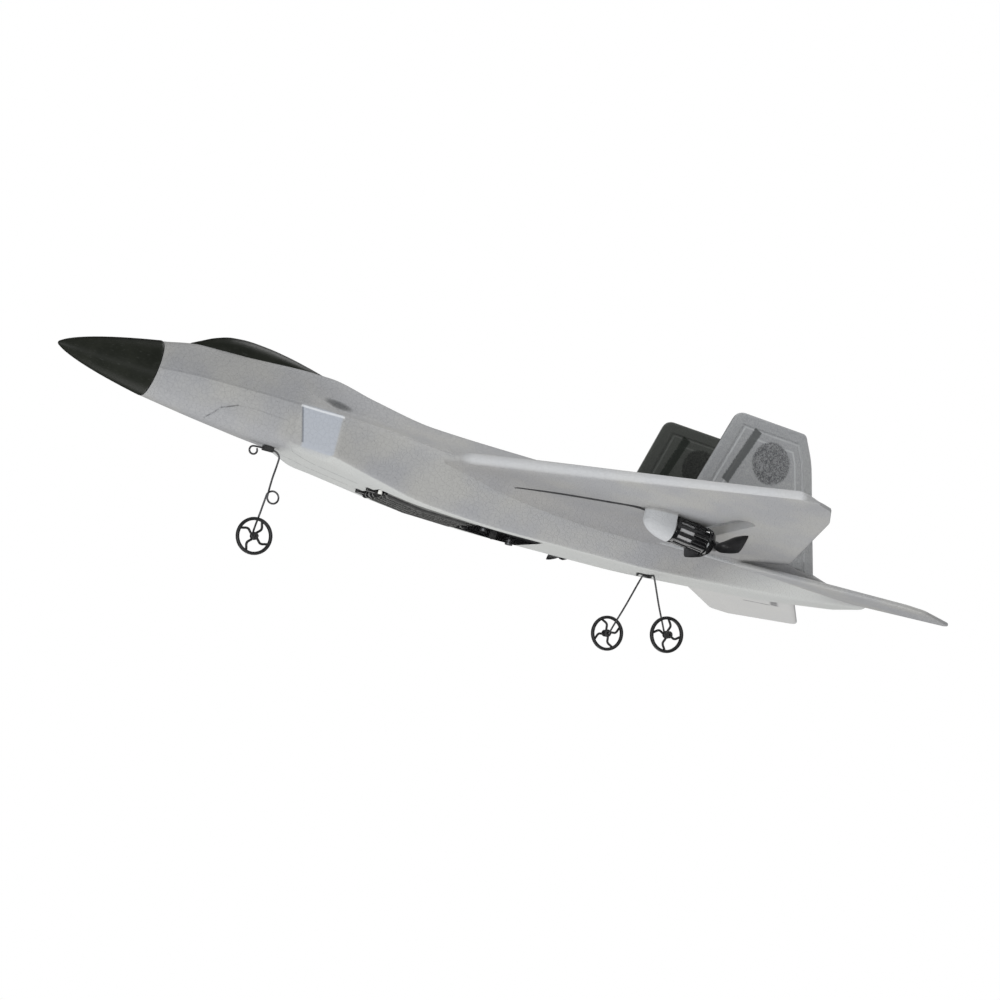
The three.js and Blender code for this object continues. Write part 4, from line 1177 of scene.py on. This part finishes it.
# undercarriage
gear = {"wire": 0.36, "axleHeight": -49.8, "noseX": 87.2, "mainX": 247.7, "mainSide": 25.6}
wheelForm = {
    "radius": 7,
    "rim": 1.25,
    "spokes": 4,
    "spokeRadius": 0.46,
    # distance from the axle, step to one side
    "spokePath": [(1.0, 0.0), (1.6, 0.0), (2.4, -0.3), (3.4, -0.6),
                  (4.2, -0.35), (5.0, 0.3), (5.7, 0.85), (6.2, 1.1)],
}


def wheelShape(centre, turn):
    radius, rim = wheelForm["radius"], wheelForm["rim"]
    middle = radius - rim / 2
    rings = []
    for step in range(97):
        angle = 2 * math.pi * (step % 96) / 96
        ring = []
        for corner in range(16):
            around = 2 * math.pi * corner / 16
            c, s = math.cos(around), math.sin(around)
            out = middle + rim / 2 * math.copysign(abs(c) ** 0.7, c)
            deep = 0.85 * math.copysign(abs(s) ** 0.7, s)
            x, z = out * math.cos(angle), out * math.sin(angle)
            ring.append((centre[0] + x, centre[1] + deep, centre[2] + z))
        rings.append(ring)
    shapes = [skinned(rings, capped=False)]
    hub = [(0.53, -1), (1.25, -1), (1.42, -0.85), (1.5, -0.6),
           (1.5, 0.6), (1.42, 0.85), (1.25, 1), (0.53, 1), (0.53, -1)]
    points, faces = turned(hub, centre, "y", 40)
    shapes.append((points, faces[:-2]))
    guide = splined([(r, 0, s) for r, s in wheelForm["spokePath"]], 5)
    for spoke in range(wheelForm["spokes"]):
        angle = 2 * math.pi * spoke / wheelForm["spokes"] - math.radians(turn)
        c, s = math.cos(angle), math.sin(angle)
        path = [(centre[0] + p.x * c + p.z * s, centre[1], centre[2] - p.x * s + p.z * c) for p in guide]
        shapes.append(tube(path, wheelForm["spokeRadius"], 12))
    return joined(*shapes)


def makeWheel(name, body, centre, node, turn):
    piece = rawPiece(name, wheelShape(centre, turn), wheelPlastic)
    settle(piece, body, "wheel_black", node, sharp=50)


def noseWirePath():
    wireZ = -17.6
    points = []
    for step in range(14, -1, -1):
        angle = math.pi / 2 - 1.72 * math.pi * step / 14
        points.append((79.6 - 1.5 * math.cos(angle), 0, -19.2 + 1.5 * math.sin(angle)))
    points += [(x, 0, wireZ) for x in (81.4, 84, 87.6)]
    points += [(89, 0, -18.2), (89.9, 0, -19.4), (89.8, 0, -22), (89.1, 0, -28)]
    for step in range(25):
        angle = math.pi + 2 * math.pi * step / 24
        points.append((91.1 + 2.3 * math.cos(angle), 1.5 * step / 24, -34.3 + 2.3 * math.sin(angle)))
    points += [(88.2, 1.9, -40), (87.3, 2.3, -47.4), (87.2, 2.2, -49.3)]
    points += [(87.2, y, -49.8) for y in (1.8, 1.3, -1, -2, -2.6)]
    return splined(points, 4)


def mainWirePath():
    x, side, axle = gear["mainX"], gear["mainSide"], gear["axleHeight"]
    bracket = bellyHeight(x) - 0.6
    inner = side - 1
    half = [(x, side + 2.6, axle), (x, side + 1, axle), (x, inner, axle), (x, inner - 0.6, axle),
            (x, inner - 1.2, axle + 0.4), (x, inner - 2, axle + 1.6), (x, 14.2, -38.4), (x, 6, bracket - 1.4),
            (x, 4.8, bracket - 0.2), (x, 3.8, bracket), (x, 2.4, bracket)]
    return splined(half + [(px, -py, pz) for px, py, pz in reversed(half)], 6)


def makeWire(name, path, node):
    settle(rawPiece(name, tube(path, gear["wire"], 12), gearSteel), "airframe", "gear_wire", node)


makeWire("noseWire", noseWirePath(), "nose_gear_wire")
makeWire("mainWire", mainWirePath(), "main_gear_wire")
axle = gear["axleHeight"]
makeWheel("noseRoller", "nose_roller", (gear["noseX"], 0, axle), "nose_wheel", 63)
makeWheel("leftRoller", "left_roller", (gear["mainX"], -gear["mainSide"], axle), "left_wheel", 85)
makeWheel("rightRoller", "right_roller", (gear["mainX"], gear["mainSide"], axle), "right_wheel", 25)
print("undercarriage made")


# carried-over nodes
keptNodes = {
    "equipment_tray": (trayPlastic, 0.12),
    "battery_cover": (coverPlastic, 0.12),
    "receiver_cover": (trayPlastic, 0.1),
    "nose_gear_clip": (wheelPlastic, 0.15),
    "main_gear_clip": (wheelPlastic, 0.12),
    "nose_wheel_collar": (wheelPlastic, 0.08),
    "left_wheel_collar": (wheelPlastic, 0.08),
    "right_wheel_collar": (wheelPlastic, 0.08),
    "power_switch_body": (switchPlastic, 0.1),
    "power_switch_slider": (switchPlastic, 0.08),
    "cover_hinge_pin": (gearSteel, 0.06),
    "cover_screw_1": (gearSteel, 0.06),
    "cover_screw_2": (gearSteel, 0.06),
    "left_motor_shaft": (canSteel, 0.05),
    "right_motor_shaft": (canSteel, 0.05),
    "battery": (cellWrap, 0.3),
    "receiver_board": (boardLacquer, 0.05),
    "status_lens": (lensWhite, 0.1),
}
for name, (material, rounding) in keptNodes.items():
    piece = nodes[name]
    piece.data.materials.clear()
    piece.data.materials.append(material)
    for polygon in piece.data.polygons:
        polygon.use_smooth = True
    piece.data.set_sharp_from_angle(angle=math.radians(30))
    edge = piece.modifiers.new("soften", "BEVEL")
    edge.width = rounding / 1000
    edge.segments = 2
    edge.limit_method = "ANGLE"
    edge.angle_limit = math.radians(40)
    edge.harden_normals = True
print("carried-over nodes finished")


# floor, light and camera
studio = {"floorHeight": -0.9, "floorRadius": 3.0, "world": 1.0}


def floorMaterial():
    # pale matt floor that thins out to the white surroundings
    look = Look("floorPale")
    spot = look.node("TexCoord", out=3)
    grain = look.noise(spot, 3.0, 3.0)
    color = look.mix(grain, (0.86, 0.86, 0.86), (0.9, 0.9, 0.9))
    x, y, z = look.axes(spot)
    away = (x * x + y * y) ** 0.5
    surface = look.node("BsdfPrincipled", sockets={"Base Color": color, "Roughness": 0.9})
    clear = look.node("BsdfTransparent")
    shown = look.node("MixShader", sockets={0: away.ramp(0.5, 2.2), 1: surface, 2: clear})
    look.node("OutputMaterial", sockets={"Surface": shown})
    return look.material


def makeStage():
    rings = bpy.data.meshes.new("studioFloor")
    segments = 96
    points = []
    for step in range(segments):
        angle = 2 * math.pi * step / segments
        radius = studio["floorRadius"]
        points.append((radius * math.cos(angle), radius * math.sin(angle), studio["floorHeight"]))
    rings.from_pydata(points, [], [tuple(range(segments))])
    floor = bpy.data.objects.new("studioFloor", rings)
    rings.materials.append(floorMaterial())
    floor.visible_glossy = False
    bpy.context.scene.collection.objects.link(floor)


def softbox(name, spot, target, size, power, tone=(1, 1, 1)):
    lamp = bpy.data.lights.new(name, "AREA")
    lamp.shape = "RECTANGLE"
    lamp.size, lamp.size_y = size
    lamp.energy = power
    lamp.color = tone
    made = bpy.data.objects.new(name, lamp)
    made.location = spot
    made.rotation_euler = (Vector(target) - Vector(spot)).to_track_quat("-Z", "Y").to_euler()
    made.visible_camera = False
    bpy.context.scene.collection.objects.link(made)


def makeLight():
    world = bpy.data.worlds.new("whiteRoom")
    world.use_nodes = True
    world.node_tree.nodes["Background"].inputs["Color"].default_value = (1, 1, 1, 1)
    world.node_tree.nodes["Background"].inputs["Strength"].default_value = studio["world"]
    world.cycles_visibility.glossy = False
    bpy.context.scene.world = world
    bpy.context.scene.view_settings.view_transform = "Standard"
    softbox("windowLow", (-1.15, -0.75, -0.25), (0, 0, 0.04), (0.8, 0.7), 8, (0.95, 0.975, 1))
    softbox("floorGlow", (0.08, 0.14, -0.43), (0.05, 0, 0.03), (0.6, 0.4), 1.5, (1, 0.995, 0.985))
    softbox("edgeStrip", (-0.15, -1.0, -0.33), (0.03, 0, 0.035), (0.7, 0.05), 1.6)
    softbox("topFar", (0.5, 0.3, 1.2), (0.05, 0, 0.04), (0.9, 0.35), 8)


view = {
    "spot": (-0.38370, -0.92092, -0.08638),
    "right": (0.89030344, -0.4048434, 0.20847447),
    "down": (0.24273975, 0.03458448, -0.96947477),
    "forward": (0.38527548, 0.91373176, 0.12906227),
    "lens": 95.247,
}


def makeCamera():
    lens = bpy.data.cameras.new("mainCamera")
    lens.lens = view["lens"]
    lens.sensor_width = 36
    lens.clip_start = 0.01
    made = bpy.data.objects.new("mainCamera", lens)
    up = [-part for part in view["down"]]
    back = [-part for part in view["forward"]]
    turn = Matrix((view["right"], up, back)).transposed()
    made.matrix_world = Matrix.Translation(view["spot"]) @ turn.to_4x4()
    bpy.context.scene.collection.objects.link(made)
    bpy.context.scene.camera = made


makeStage()
makeLight()
makeCamera()
print("stage made")
